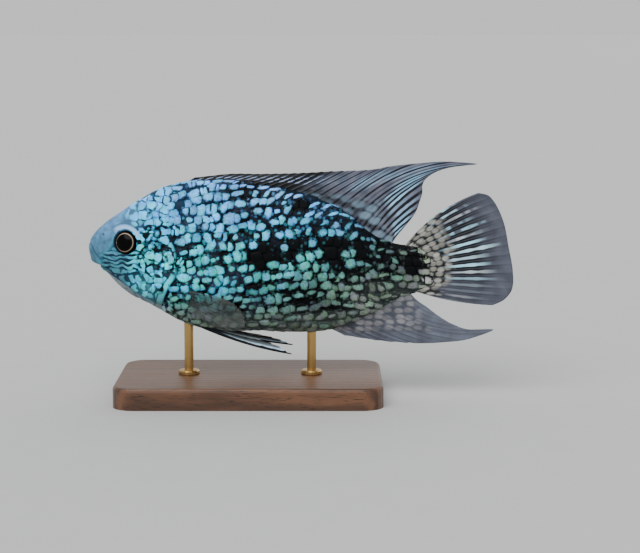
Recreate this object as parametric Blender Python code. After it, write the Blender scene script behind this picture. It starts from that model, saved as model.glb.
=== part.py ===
"""A texas cichlid at life size, swimming over a plain display stand.

Metres, +Z up. The fish looks along -X and its left side faces -Y. Its sizes are stated in
millimetres from the tip of the snout, and MM turns them into metres. The origin is the
middle of the underside of the stand's base, and SNOUT is the tip of the snout from there.
"""

import math

import bmesh
import bpy
import numpy as np
from mathutils import Matrix, Vector

MM = 0.001
GAP = 0.3 * MM
SNOUT = Vector((-91.0, 0.0, 85.0)) * MM

# Side outline and half width of the body, from the snout to the end of the tail stalk
BODY = MM * np.array(
    [
        # behind snout, back, belly, half width
        (0.0, 0.0, 0.0, 0.0),
        (2.0, 6.1, -6.9, 5.0),
        (8.2, 12.8, -12.1, 8.6),
        (20.1, 21.2, -24.6, 13.2),
        (40.0, 33.1, -36.0, 18.6),
        (62.7, 38.1, -46.2, 20.8),
        (96.7, 36.1, -48.0, 20.2),
        (130.8, 27.8, -48.2, 15.8),
        (145.0, 20.6, -45.2, 12.8),
        (156.3, 11.2, -40.1, 9.8),
        (167.7, 4.2, -33.8, 7.2),
        (176.2, 1.9, -28.9, 5.4),
        (186.0, 0.8, -26.2, 3.2),
        (190.4, -1.7, -23.5, 2.2),
    ]
)
WIDEST_SHARE = 0.52
BACK_POWER = 1.9
BELLY_POWER = 2.15
RINGS = 52
ROUND = 32
CORE_RINGS = 30
CORE_ROUND = 20
RING_CROWDING = 1.6

# Rear edge of the head and of the gill cover, from the nape down to the throat
HEAD_EDGE = MM * np.array(
    [
        # behind snout, height
        (48.0, 45.0),
        (45.0, 34.0),
        (43.0, 24.0),
        (42.0, 15.0),
        (43.2, 10.9),
        (47.6, 6.0),
        (50.5, 0.0),
        (51.8, -8.0),
        (50.4, -14.5),
        (46.8, -19.8),
        (44.2, -25.0),
        (42.6, -29.5),
        (40.8, -34.0),
        (38.0, -45.0),
    ]
)
GILL_TOP_POINT = 4
GILL_BASE_HEIGHT = -31.6 * MM
# Front edge of the gill cover, from its upper corner down to its lower one
GILL_FRONT = MM * np.array(
    [
        # behind snout, height
        (43.2, 10.9),
        (37.5, 9.6),
        (34.4, 5.0),
        (32.8, -2.0),
        (32.3, -10.0),
        (31.8, -17.0),
        (29.8, -23.5),
        (30.6, -28.6),
        (35.0, -31.2),
    ]
)
GILL_THICKNESS = 2.6 * MM
GILL_RISE = 1.0 * MM

# Mouth, from its front to its corner, and the rear edge of the lower jaw
MOUTH_FRONT = Vector((4.6, -9.6)) * MM
MOUTH_CORNER = Vector((11.8, -11.4)) * MM
MOUTH_DEPTH = 2.2 * MM
MOUTH_SLIT = 0.7 * MM
LIP_RADIUS = 1.7 * MM
LIP_SUNK = 0.95 * MM
LIP_OFFSET = 1.45 * MM
JAW_REAR = MM * np.array([(17.0, -15.6), (22.5, -20.8), (26.5, -26.0), (29.0, -34.0), (29.0, -45.0)])

EYE_PLACE = Vector((22.1, 4.1)) * MM
EYE_RADIUS = 6.5 * MM
EYE_DOME = 3.3 * MM
EYE_SUNK = 1.2 * MM
EYE_RIM = 0.9 * MM
NOSTRIL_PLACE = Vector((9.0, 7.8)) * MM
NOSTRIL_RADIUS = 0.9 * MM

STALK_CUT = 172.0 * MM
PAST_BODY = 60.0 * MM

# Dorsal fin: 16 spines folded low, then 12 soft rays drawn out to a filament
DORSAL_RAYS = 28
DORSAL_SPINES = 16
DORSAL = MM * np.array(
    [
        # root behind snout, tip behind snout, tip height, bow of the ray
        (51.3, 60.4, 39.4, 0.0),
        (62.7, 78.6, 41.3, 0.0),
        (79.7, 97.9, 41.3, 0.0),
        (96.7, 117.7, 41.9, 0.0),
        (113.8, 137.6, 43.1, 0.0),
        (131.3, 162.6, 44.3, 1.0),
        (140.0, 177.9, 46.7, 2.2),
        (144.5, 200.0, 48.4, 5.6),
        (148.9, 219.1, 47.0, 9.0),
        (153.4, 202.5, 45.0, 5.4),
        (157.8, 190.4, 38.6, 2.6),
        (162.2, 188.2, 29.2, 1.6),
        (166.7, 184.3, 18.8, 1.0),
        (171.1, 175.6, 8.0, 0.4),
    ]
)
# Anal fin: 5 spines, then 10 soft rays, drawn out to a point
ANAL_RAYS = 15
ANAL_SPINES = 5
ANAL = MM * np.array(
    [
        # root behind snout, tip behind snout, tip height, bow of the ray
        (134.8, 145.0, -50.9, 0.0),
        (145.0, 171.6, -54.7, 0.4),
        (156.3, 201.7, -54.6, 1.6),
        (161.5, 216.9, -52.3, 4.0),
        (164.8, 229.5, -47.3, 6.4),
        (168.1, 215.5, -47.2, 4.2),
        (171.5, 207.4, -44.7, 2.6),
        (176.5, 200.0, -40.9, 1.6),
        (181.5, 190.8, -34.2, 0.6),
    ]
)
# Tail fin: branched rays from an arc inside the end of the stalk
CAUDAL_RAYS = 16
CAUDAL_HUB = Vector((180.0, -12.6)) * MM
CAUDAL_HUB_REACH = Vector((8.0, 13.0)) * MM
CAUDAL_TOP_TURN = math.radians(100)
CAUDAL_BASE_TURN = math.radians(-68)
CAUDAL_EDGE = MM * np.array(
    [
        # behind snout, height
        (223.8, 31.8),
        (230.2, 24.0),
        (235.0, 13.0),
        (237.6, 0.0),
        (240.0, -13.4),
        (239.4, -24.5),
        (232.3, -33.2),
    ]
)
# Its upper and its lower edge bulge, each by a height that fades out over a share of the fin
CAUDAL_TOP_BULGE, CAUDAL_TOP_SHARE = 9.0 * MM, 0.4
CAUDAL_BASE_BULGE, CAUDAL_BASE_SHARE = 4.2 * MM, 0.3
BULGE_POWER = 1.5
CAUDAL_WAVE = 2.0 * MM
# Each ray of the tail fin forks at a share of its length
FORK_START, FORK_LENGTH = 0.4, 0.25
# Pectoral fin, laid back along the side
PECTORAL_RAYS = 12
PECTORAL_ROOT = MM * np.array([(56.0, -22.4), (55.6, -27.4), (54.6, -32.4)])
PECTORAL_EDGE = MM * np.array(
    [(72.2, -25.0), (82.2, -29.0), (88.0, -35.6), (89.4, -41.6), (85.2, -45.0), (75.2, -44.0), (65.2, -39.2)]
)
PECTORAL_SPREAD = 20.5 * MM
PECTORAL_BOW = 2.6 * MM
# Pelvic fin, one spine and five rays, the first drawn out to a filament
PELVIC_RAYS = 6
PELVIC_ROOT = MM * np.array([(64.4, 6.6, -44.6), (69.5, 4.0, -46.0)])
PELVIC_EDGE = MM * np.array(
    [
        # behind snout, from the middle, height
        (114.9, 15.0, -58.8),
        (110.5, 12.6, -56.6),
        (106.0, 10.6, -54.6),
        (98.0, 8.0, -52.2),
        (88.5, 6.0, -50.5),
    ]
)
PELVIC_BOW = 4.0 * MM

# Fins get thinner from root to edge, and their rays stand out from the membrane
MEDIAN_ROOT_HALF = 1.1 * MM
PAIRED_ROOT_HALF = 0.8 * MM
EDGE_HALF = 0.28 * MM
RAY_RISE = 0.27 * MM
TAPER_POWER = 1.6
SUNK = 2.0 * MM
MEDIAN_WAVE = 1.2 * MM
# How far a fin's edge draws in between two spines or two soft rays, as a share of the ray
SPINY_NOTCH = 0.15
SOFT_NOTCH = 0.02
PAIRED_NOTCH = 0.03
FIN_ROWS = 6

BASE_SIZE = Vector((150.0, 90.0, 12.0)) * MM
BASE_CORNER = 12.0 * MM
BASE_EDGE = 2.0 * MM
ROD_RADIUS = 2.6 * MM
ROD_FOOT_RADIUS = 6.0 * MM
ROD_FOOT_HEIGHT = 2.2 * MM
ROD_PLACES = {"stand_rod_front": 56.0 * MM, "stand_rod_rear": 126.0 * MM}
ROD_SIDES = 20


def material(name, colour, roughness, metallic=0.0):
    made = bpy.data.materials.new(name)
    made.use_nodes = True
    shader = made.node_tree.nodes["Principled BSDF"]
    shader.inputs["Base Color"].default_value = (*colour, 1.0)
    shader.inputs["Roughness"].default_value = roughness
    shader.inputs["Metallic"].default_value = metallic
    return made


def smooth_curve(knots, values, at):
    """Values on the smooth curve that runs through (knots, values)."""
    knots = np.asarray(knots, float)
    values = np.asarray(values, float)
    at = np.clip(np.asarray(at, float), knots[0], knots[-1])
    slope = np.gradient(values, knots, axis=0)
    start = np.clip(np.searchsorted(knots, at) - 1, 0, len(knots) - 2)
    span = knots[start + 1] - knots[start]
    u = (at - knots[start]) / span
    if values.ndim > 1:
        u = u[..., None]
        span = np.asarray(span)[..., None]
    rise = values[start + 1] - values[start]
    first = slope[start] * span
    last = slope[start + 1] * span
    bend = 3 * rise - 2 * first - last
    twist = first + last - 2 * rise
    return values[start] + u * first + u**2 * bend + u**3 * twist


def along_points(points, count):
    """Count points, evenly spread by their number, on the smooth curve through the given ones."""
    return smooth_curve(np.arange(len(points)), points, np.linspace(0, len(points) - 1, count))


def body_profile(x):
    """Back, belly and half width of the body at x behind the snout, round at the snout."""
    return smooth_curve(np.sqrt(BODY[:, 0]), BODY[:, 1:], math.sqrt(max(x, 0.0)))


def body_point(x, turn):
    """A point of the body's surface, at an angle that turns up from the right side."""
    back, belly, half_width = body_profile(x)
    level = belly + WIDEST_SHARE * (back - belly)
    across = math.cos(turn)
    up = math.sin(turn)
    power = BACK_POWER if up > 0 else BELLY_POWER
    reach = back - level if up > 0 else level - belly
    return Vector(
        (
            x,
            math.copysign(half_width * abs(across) ** (2 / power), across),
            level + math.copysign(reach * abs(up) ** (2 / power), up),
        )
    )


def body_side(x, z):
    """Half width of the body at height z."""
    back, belly, half_width = body_profile(x)
    level = belly + WIDEST_SHARE * (back - belly)
    power = BACK_POWER if z > level else BELLY_POWER
    reach = (z - level) / (back - level) if z > level else (level - z) / (level - belly)
    return half_width * (1 - min(reach, 1.0) ** power) ** (1 / power)


def side_point(x, z, side):
    return Vector((x, side * body_side(x, z), z))


def side_normal(x, z, side):
    """The way out of the body's surface there."""
    step = 0.4 * MM
    along = side_point(x + step, z, side) - side_point(x - step, z, side)
    up = side_point(x, z + step, side) - side_point(x, z - step, side)
    out = along.cross(up).normalized()
    return out if out.y * side > 0 else -out


def ease(share):
    share = np.clip(share, 0.0, 1.0)
    return share * share * (3 - 2 * share)


def gill_swell(point):
    """How far the gill cover stands out of the body there, rising to its rear edge."""
    rear_x = HEAD_EDGE[GILL_TOP_POINT:, 0]
    rear_z = HEAD_EDGE[GILL_TOP_POINT:, 1]
    if not GILL_BASE_HEIGHT < point.z < rear_z[0]:
        return 0.0
    rear = np.interp(-point.z, -rear_z, rear_x)
    front = np.interp(-point.z, -GILL_FRONT[:, 1], GILL_FRONT[:, 0])
    fade = ease((point.z - GILL_BASE_HEIGHT) / (5 * MM))
    return GILL_RISE * ease((point.x - front) / (rear - front + 1 * MM)) * fade


def node(name, bm, looks):
    """A mesh object of a closed mesh given from the snout, in the frame of the stand."""
    bmesh.ops.recalc_face_normals(bm, faces=bm.faces[:])
    if bm.calc_volume(signed=True) < 0:
        bmesh.ops.reverse_faces(bm, faces=bm.faces[:])
    mesh = bpy.data.meshes.new(name)
    bm.to_mesh(mesh)
    bm.free()
    mesh.transform(Matrix.Translation(SNOUT))
    if looks is not None:
        mesh.materials.append(looks)
    made = bpy.data.objects.new(name, mesh)
    bpy.context.scene.collection.objects.link(made)
    return made


def cutter(name, bm):
    made = node(name, bm, None)
    made.hide_render = True
    made.display_type = "WIRE"
    return made


def copied(source, name):
    made = source.copy()
    made.data = source.data.copy()
    made.name = name
    made.data.name = name
    bpy.context.scene.collection.objects.link(made)
    return made


def boolean(target, operation, others, solver="EXACT"):
    """Joins or cuts the target with all the others at once. The others stay."""
    group = bpy.data.collections.new("Boolean group")
    bpy.context.scene.collection.children.link(group)
    for other in others:
        group.objects.link(other)
    modifier = target.modifiers.new("Boolean", "BOOLEAN")
    modifier.operation = operation
    modifier.operand_type = "COLLECTION"
    modifier.collection = group
    modifier.solver = solver
    graph = bpy.context.evaluated_depsgraph_get()
    mesh = bpy.data.meshes.new_from_object(target.evaluated_get(graph))
    target.modifiers.clear()
    target.data = mesh
    bpy.data.collections.remove(group)
    keep_largest(target)


def cut_to(target, keep, others=()):
    """Keeps what lies inside the cutter keep, and outside all the others."""
    boolean(target, "INTERSECT", [keep])
    if others:
        boolean(target, "DIFFERENCE", others)


def keep_largest(target):
    """Keeps only the largest closed surface of the object."""
    bm = bmesh.new()
    bm.from_mesh(target.data)
    bmesh.ops.triangulate(bm, faces=bm.faces[:])
    left = set(bm.faces)
    surfaces = []
    while left:
        found = {left.pop()}
        edge_faces = list(found)
        while edge_faces:
            face = edge_faces.pop()
            for edge in face.edges:
                for other in edge.link_faces:
                    if other not in found:
                        found.add(other)
                        edge_faces.append(other)
        left -= found
        surfaces.append(found)
    surfaces.sort(key=enclosed)
    loose = [face for surface in surfaces[:-1] for face in surface]
    bmesh.ops.delete(bm, geom=loose, context="FACES")
    bm.to_mesh(target.data)
    bm.free()


def enclosed(faces):
    """Volume inside a closed surface of triangles."""
    total = 0.0
    for face in faces:
        a, b, c = (vert.co for vert in face.verts)
        total += a.dot(b.cross(c)) / 6
    return total


def remove(objects):
    for used in objects:
        bpy.data.objects.remove(used)


def body_mesh(grow=0.0, relief=False, rings=RINGS, sides=ROUND):
    """The whole body as one closed loft, moved out by grow, with the gill covers if asked."""
    bm = bmesh.new()
    bmesh.ops.create_grid(bm, x_segments=sides, y_segments=rings, size=0.5)
    for vert in bm.verts:
        turn = 2 * math.pi * (vert.co.x + 0.5)
        along = min(max(vert.co.y + 0.5, 0.0), 1.0)
        vert.co = body_point(BODY[-1, 0] * along**RING_CROWDING, turn)
    bmesh.ops.remove_doubles(bm, verts=bm.verts[:], dist=1e-7)
    bmesh.ops.holes_fill(bm, edges=bm.edges[:], sides=0)
    bmesh.ops.recalc_face_normals(bm, faces=bm.faces[:])
    bm.normal_update()
    moves = [vert.normal * (grow + (gill_swell(vert.co) if relief else 0.0)) for vert in bm.verts]
    for vert, move in zip(bm.verts, moves):
        vert.co += move
    bmesh.ops.triangulate(bm, faces=bm.faces[:])
    return bm


def prism(outline, low, high):
    """A side outline of (x, z) points, drawn out across the fish from y = low to high."""
    bm = bmesh.new()
    corners = [bm.verts.new((x, low, z)) for x, z in outline]
    face = bm.faces.new(corners)
    made = bmesh.ops.extrude_face_region(bm, geom=[face])["geom"]
    moved = [item for item in made if isinstance(item, bmesh.types.BMVert)]
    bmesh.ops.translate(bm, verts=moved, vec=(0, high - low, 0))
    return bm


def widened(outline, by):
    """The closed outline moved out by a distance, whichever way round its points run."""
    outline = np.asarray(outline)
    ahead = np.roll(outline, -1, axis=0) - outline
    ahead /= np.linalg.norm(ahead, axis=1)[:, None]
    out = np.stack([ahead[:, 1], -ahead[:, 0]], axis=1)
    area = np.sum(outline[:, 0] * np.roll(outline[:, 1], -1) - outline[:, 1] * np.roll(outline[:, 0], -1))
    out *= math.copysign(1.0, area)
    mean = out + np.roll(out, 1, axis=0)
    mean /= np.sum(mean * out, axis=1)[:, None]
    return outline + by * mean


def mouth_height(x):
    share = (x - MOUTH_FRONT.x) / (MOUTH_CORNER.x - MOUTH_FRONT.x)
    return MOUTH_FRONT.y + share * (MOUTH_CORNER.y - MOUTH_FRONT.y)


def mouth_path(rise, count):
    """Points and ways out along the mouth, round the snout from corner to corner."""
    front = MOUTH_FRONT.x
    while body_side(front, mouth_height(front) + rise) <= 0.0:
        front += 0.05 * MM
    points = []
    for turn in np.linspace(-math.pi / 2, math.pi / 2, count):
        x = front + (MOUTH_CORNER.x - front) * (1 - math.cos(turn))
        side = math.copysign(1.0, turn)
        point = side_point(x, mouth_height(x) + rise, side)
        if abs(turn) < 1e-6:
            point.y = 0.0
        points.append(point)
    ways = []
    for index, point in enumerate(points):
        ahead = points[min(index + 1, count - 1)] - points[max(index - 1, 0)]
        ways.append(Vector((-ahead.y, ahead.x, 0)).normalized())
    return points, ways


def lip(name, rise):
    """One lip, a tapered tube that lies half sunk along the mouth."""
    count = 15
    sides = 8
    points, ways = mouth_path(rise, count)
    bm = bmesh.new()
    bmesh.ops.create_grid(bm, x_segments=sides, y_segments=count - 1, size=0.5)
    for vert in bm.verts:
        turn = 2 * math.pi * (vert.co.x + 0.5)
        index = round((vert.co.y + 0.5) * (count - 1))
        share = abs(2 * index / (count - 1) - 1)
        radius = LIP_RADIUS * (1 - 0.5 * share**3)
        out = math.cos(turn) * radius - LIP_SUNK
        vert.co = points[index] + ways[index] * out + Vector((0, 0, math.sin(turn) * radius))
    bmesh.ops.remove_doubles(bm, verts=bm.verts[:], dist=1e-7)
    bmesh.ops.holes_fill(bm, edges=bm.edges[:], sides=0)
    return cutter(name, bm)


def mouth_slit():
    """The thin space between the lips, a few millimetres deep."""
    count = 15
    points, ways = mouth_path(0.0, count)
    bm = bmesh.new()
    bmesh.ops.create_grid(bm, x_segments=1, y_segments=count - 1, size=0.5)
    for vert in bm.verts:
        index = round((vert.co.y + 0.5) * (count - 1))
        out = 2 * LIP_RADIUS if vert.co.x > 0 else -MOUTH_DEPTH
        vert.co = points[index] + ways[index] * out - Vector((0, 0, MOUTH_SLIT / 2))
    made = bmesh.ops.extrude_face_region(bm, geom=bm.faces[:])["geom"]
    moved = [item for item in made if isinstance(item, bmesh.types.BMVert)]
    bmesh.ops.translate(bm, verts=moved, vec=(0, 0, MOUTH_SLIT))
    return cutter("mouth slit", bm)


def facing(place, side, sunk):
    """The frame whose Z looks out of the side at a place given from the snout."""
    x, z = place
    out = side_normal(x, z, side)
    turn = out.to_track_quat("Z", "Y").to_matrix().to_4x4()
    return Matrix.Translation(side_point(x, z, side) - out * sunk) @ turn


def eyeball(side, more):
    """An eye: a flat dome in front, half a ball behind."""
    bm = bmesh.new()
    bmesh.ops.create_uvsphere(bm, u_segments=20, v_segments=10, radius=EYE_RADIUS + more)
    dome = (EYE_DOME + more) / (EYE_RADIUS + more)
    for vert in bm.verts:
        if vert.co.z > 0:
            vert.co.z *= dome
    bm.transform(facing(EYE_PLACE, side, EYE_SUNK))
    return bm


def eye_rim(side):
    """The ring of skin round an eye."""
    bm = bmesh.new()
    reach = EYE_RADIUS + 0.4 * EYE_RIM
    bmesh.ops.create_circle(bm, cap_ends=False, segments=6, radius=EYE_RIM)
    bm.transform(Matrix.Translation((reach, 0, 0)) @ Matrix.Rotation(math.pi / 2, 4, "X"))
    bmesh.ops.spin(
        bm,
        geom=bm.verts[:] + bm.edges[:],
        cent=(0, 0, 0),
        axis=(0, 0, 1),
        angle=2 * math.pi,
        steps=20,
        use_merge=True,
    )
    bm.transform(facing(EYE_PLACE, side, 0.5 * EYE_RIM))
    return cutter("eye rim", bm)


def nostril(side):
    bm = bmesh.new()
    bmesh.ops.create_icosphere(bm, subdivisions=2, radius=NOSTRIL_RADIUS)
    bm.transform(facing(NOSTRIL_PLACE, side, 0.2 * NOSTRIL_RADIUS))
    return cutter("nostril", bm)


def gill_outline():
    """The gill cover seen from the side: down its rear edge and up its front."""
    rear = HEAD_EDGE[GILL_TOP_POINT:]
    rear = along_points(rear, 25)
    rear = rear[rear[:, 1] > GILL_BASE_HEIGHT]
    front = along_points(GILL_FRONT, 21)[1:]
    return np.concatenate([rear, front[::-1]])


def edge_outline(far_end):
    """The rear edge of the head, drawn out above and below, and closed along x = far_end."""
    edge = along_points(HEAD_EDGE, 40)
    below = np.array([(edge[-1, 0], -PAST_BODY), (far_end, -PAST_BODY)])
    above = np.array([(far_end, PAST_BODY), (edge[0, 0], PAST_BODY)])
    return np.concatenate([edge, below, above])


def across(side):
    """From just off the middle of the fish to past its side."""
    return (1 * MM, PAST_BODY) if side > 0 else (-PAST_BODY, -1 * MM)


def make_head(looks, eye_looks):
    """The head, its lower jaw, its two gill covers and its eyes."""
    whole = node("whole head", body_mesh(relief=True), looks)
    added = [lip("upper lip", LIP_OFFSET), lip("lower lip", -LIP_OFFSET), eye_rim(1), eye_rim(-1)]
    boolean(whole, "UNION", added)
    remove(added)

    head_part = cutter("head part", prism(edge_outline(-PAST_BODY), -PAST_BODY, PAST_BODY))
    mouth = np.array([(-PAST_BODY, MOUTH_FRONT.y), MOUTH_FRONT, MOUTH_CORNER])
    below = np.array([(-PAST_BODY, JAW_REAR[-1, 1])])
    jaw_outline = np.concatenate([mouth, JAW_REAR, below])
    jaw_part = cutter("jaw part", prism(jaw_outline, -PAST_BODY, PAST_BODY))
    jaw_room = cutter("jaw room", prism(widened(jaw_outline, GAP), -PAST_BODY - GAP, PAST_BODY + GAP))
    slit = mouth_slit()
    core = cutter("core", body_mesh(-GILL_THICKNESS, rings=CORE_RINGS, sides=CORE_ROUND))
    small_core = cutter("small core", body_mesh(-GILL_THICKNESS - GAP, rings=CORE_RINGS, sides=CORE_ROUND))

    rooms = []
    for side, name in ((-1, "left"), (1, "right")):
        cover = copied(whole, f"gill_cover_{name}")
        low, high = across(side)
        part = cutter("gill part", prism(gill_outline(), low, high))
        cut_to(cover, part, [core])
        room = cutter("gill room", prism(widened(gill_outline(), GAP), low, high))
        boolean(room, "DIFFERENCE", [small_core])
        rooms.append(room)
        rooms.append(cutter("socket", eyeball(side, GAP)))
        rooms.append(nostril(side))
        remove([part])
        eye = node(f"eye_{name}", eyeball(side, 0.0), eye_looks)
        eye.data.shade_smooth()

    jaw = copied(whole, "lower_jaw")
    cut_to(jaw, jaw_part, [slit])
    head = copied(whole, "head")
    cut_to(head, head_part, [jaw_room, slit, *rooms])
    remove([whole, head_part, jaw_part, jaw_room, slit, core, small_core, *rooms])


def make_trunk(looks, stalk_looks):
    """The trunk behind the head, and the tail stalk."""
    outline = widened(edge_outline(STALK_CUT), -GAP)
    trunk = node("trunk", body_mesh(), looks)
    part = cutter("trunk part", prism(outline, -PAST_BODY, PAST_BODY))
    cut_to(trunk, part)
    stalk = node("tail_stalk", body_mesh(), stalk_looks)
    far = 4 * PAST_BODY
    corners = [(STALK_CUT, -PAST_BODY), (far, -PAST_BODY), (far, PAST_BODY), (STALK_CUT, PAST_BODY)]
    stalk_part = cutter("stalk part", prism(corners, -PAST_BODY, PAST_BODY))
    cut_to(stalk, stalk_part)
    remove([part, stalk_part])


def fin(name, place, rays, root_half, looks, room, notch, branched=False):
    """A fin as one sheet with its rays raised.

    place gives the middle of the sheet from a share along the rays and a share across them,
    room is the space that the body takes, and notch how far the edge draws in between rays.
    """
    each = 4 if branched else 2
    columns = each * (rays - 1)
    bm = bmesh.new()
    bmesh.ops.create_grid(bm, x_segments=columns, y_segments=FIN_ROWS, size=0.5)
    half = bm.verts.layers.float.new("half thickness")
    way = bm.verts.layers.float_vector.new("way out")
    for vert in bm.verts:
        column = round((vert.co.x + 0.5) * columns)
        along = min(max(vert.co.y + 0.5, 0.0), 1.0)
        across_share = column / columns
        crest = ray_crest(column % each, each, along)
        along *= 1 - notch(across_share) * (1 - ray_crest(column % each, each, 0.0))
        taper = (1 - along) ** TAPER_POWER
        vert[half] = EDGE_HALF + (root_half - EDGE_HALF) * taper + RAY_RISE * crest * (1 - 0.5 * along)
        vert.co = place(along, across_share)
    bmesh.ops.triangulate(bm, faces=bm.faces[:])
    bm.normal_update()
    for vert in bm.verts:
        vert[way] = vert.normal
    made = bmesh.ops.extrude_face_region(bm, geom=bm.faces[:], use_keep_orig=True)["geom"]
    far_side = {item for item in made if isinstance(item, bmesh.types.BMVert)}
    for vert in bm.verts:
        move = vert[way] * vert[half]
        vert.co += move if vert in far_side else -move
    made = node(name, bm, looks)
    boolean(made, "DIFFERENCE", [room])
    return made


def ray_crest(step, each, along):
    """1 on a ray, 0 between rays. A branched ray is one near its root and two near its end."""
    if each == 2:
        return float(step == 0)
    fork = ease((along - FORK_START) / FORK_LENGTH)
    return float({0: 1 - fork, 1: fork, 2: 0.0, 3: fork}[step])


def bowed(start, end, bow, along):
    """A point of a ray that bends away from straight by the vector bow at its middle."""
    return start.lerp(end, along) + bow * (4 * along * (1 - along))


def median_place(table, sink):
    """Places of a fin that stands on the middle line of the back or of the belly."""
    spread = (table[:, 0] - table[0, 0]) / (table[-1, 0] - table[0, 0])
    line = 0 if sink < 0 else 1

    def place(along, across_share):
        root_x, tip_x, tip_z, bend = smooth_curve(spread, table, across_share)
        root = Vector((root_x, 0, body_profile(root_x)[line] + sink))
        tip = Vector((tip_x, 0, tip_z))
        straight = (tip - root).normalized()
        bow = Vector((straight.z, 0, -straight.x)) * math.copysign(bend, sink)
        point = bowed(root, tip, bow, along)
        point.y = MEDIAN_WAVE * along**2 * math.sin(2.5 * math.pi * across_share)
        return point

    return place


def caudal_place(along, across_share):
    turn = CAUDAL_TOP_TURN + across_share * (CAUDAL_BASE_TURN - CAUDAL_TOP_TURN)
    hub = CAUDAL_HUB
    reach = CAUDAL_HUB_REACH
    root = Vector((hub.x + reach.x * math.cos(turn), 0, hub.y + reach.y * math.sin(turn)))
    edge_x, edge_z = smooth_curve(np.linspace(0, 1, len(CAUDAL_EDGE)), CAUDAL_EDGE, across_share)
    tip = Vector((edge_x, 0, edge_z))
    straight = (tip - root).normalized()
    top = CAUDAL_TOP_BULGE * max(0.0, 1 - across_share / CAUDAL_TOP_SHARE) ** BULGE_POWER
    base = CAUDAL_BASE_BULGE * max(0.0, 1 - (1 - across_share) / CAUDAL_BASE_SHARE) ** BULGE_POWER
    bow = Vector((-straight.z, 0, straight.x)) * (top - base) / 2
    point = bowed(root, tip, bow, along)
    point.y = CAUDAL_WAVE * along**2 * math.sin(1.6 * math.pi * across_share + 0.4)
    return point


def pectoral_place(side):
    def place(along, across_share):
        root_x, root_z = smooth_curve(np.linspace(0, 1, len(PECTORAL_ROOT)), PECTORAL_ROOT, across_share)
        root = side_point(root_x, root_z, 1) - Vector((0, SUNK, 0))
        edge_x, edge_z = smooth_curve(np.linspace(0, 1, len(PECTORAL_EDGE)), PECTORAL_EDGE, across_share)
        tip = Vector((edge_x, PECTORAL_SPREAD - 3 * MM * across_share, edge_z))
        point = bowed(root, tip, Vector((0, PECTORAL_BOW, 0)), along)
        point.y *= side
        return point

    return place


def pelvic_place(side):
    def place(along, across_share):
        root = Vector(PELVIC_ROOT[0]).lerp(Vector(PELVIC_ROOT[1]), across_share)
        tip = Vector(smooth_curve(np.linspace(0, 1, len(PELVIC_EDGE)), PELVIC_EDGE, across_share))
        point = bowed(root, tip, Vector((0, 0, -PELVIC_BOW / 2 * (1 - across_share))), along)
        point.y *= side
        return point

    return place


def notches(spines, rays, soft=SOFT_NOTCH):
    """How far the edge draws in, from a share across the rays."""
    return lambda share: SPINY_NOTCH if share < spines / rays else soft


def make_fins(looks):
    room = cutter("body room", body_mesh(grow=GAP))
    dorsal = median_place(DORSAL, -SUNK)
    edge = notches(DORSAL_SPINES, DORSAL_RAYS)
    fin("dorsal_fin", dorsal, DORSAL_RAYS, MEDIAN_ROOT_HALF, looks, room, edge)
    anal = median_place(ANAL, SUNK)
    edge = notches(ANAL_SPINES, ANAL_RAYS)
    fin("anal_fin", anal, ANAL_RAYS, MEDIAN_ROOT_HALF, looks, room, edge)
    fin("caudal_fin", caudal_place, CAUDAL_RAYS, MEDIAN_ROOT_HALF, looks, room, notches(0, 1), branched=True)
    for side, name in ((-1, "left"), (1, "right")):
        even = notches(0, 1, PAIRED_NOTCH)
        fin(f"pectoral_fin_{name}", pectoral_place(side), PECTORAL_RAYS, PAIRED_ROOT_HALF, looks, room, even)
        fin(f"pelvic_fin_{name}", pelvic_place(side), PELVIC_RAYS, PAIRED_ROOT_HALF, looks, room, even)
    remove([room])


def make_stand(base_looks, rod_looks):
    """A flat base with round corners, and two rods that end just under the belly."""
    bm = bmesh.new()
    bmesh.ops.create_cube(bm, size=1.0)
    bmesh.ops.scale(bm, verts=bm.verts[:], vec=BASE_SIZE)
    bmesh.ops.translate(bm, verts=bm.verts[:], vec=(0, 0, BASE_SIZE.z / 2))
    upright = [edge for edge in bm.edges if abs(edge.verts[0].co.z - edge.verts[1].co.z) > BASE_SIZE.z / 2]
    bevel = {"affect": "EDGES", "profile": 0.5, "material": -1, "offset_type": "OFFSET"}
    bmesh.ops.bevel(bm, geom=upright, offset=BASE_CORNER, segments=6, **bevel)
    top = [edge for edge in bm.edges if min(vert.co.z for vert in edge.verts) > BASE_SIZE.z - 0.1 * MM]
    bmesh.ops.bevel(bm, geom=top, offset=BASE_EDGE, segments=3, **bevel)
    bmesh.ops.translate(bm, verts=bm.verts[:], vec=-SNOUT)
    node("stand_base", bm, base_looks)

    room = cutter("body room", body_mesh(grow=GAP))
    foot = BASE_SIZE.z + GAP - SNOUT.z
    profile = [
        (0.0, foot),
        (ROD_FOOT_RADIUS, foot),
        (ROD_FOOT_RADIUS, foot + 0.7 * ROD_FOOT_HEIGHT),
        (ROD_FOOT_RADIUS - 0.3 * ROD_FOOT_HEIGHT, foot + ROD_FOOT_HEIGHT),
        (ROD_RADIUS, foot + ROD_FOOT_HEIGHT),
        (ROD_RADIUS, 0.0),
        (0.0, 0.0),
    ]
    for name, behind in ROD_PLACES.items():
        bm = bmesh.new()
        points = [bm.verts.new((behind + radius, 0, z)) for radius, z in profile]
        edges = [bm.edges.new(pair) for pair in zip(points, points[1:])]
        bmesh.ops.spin(
            bm,
            geom=points + edges,
            cent=(behind, 0, 0),
            axis=(0, 0, 1),
            angle=2 * math.pi,
            steps=ROD_SIDES,
            use_merge=True,
        )
        bmesh.ops.remove_doubles(bm, verts=bm.verts[:], dist=1e-7)
        rod = node(name, bm, rod_looks)
        boolean(rod, "DIFFERENCE", [room])
    remove([room])


for old in list(bpy.data.objects):
    bpy.data.objects.remove(old)

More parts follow.
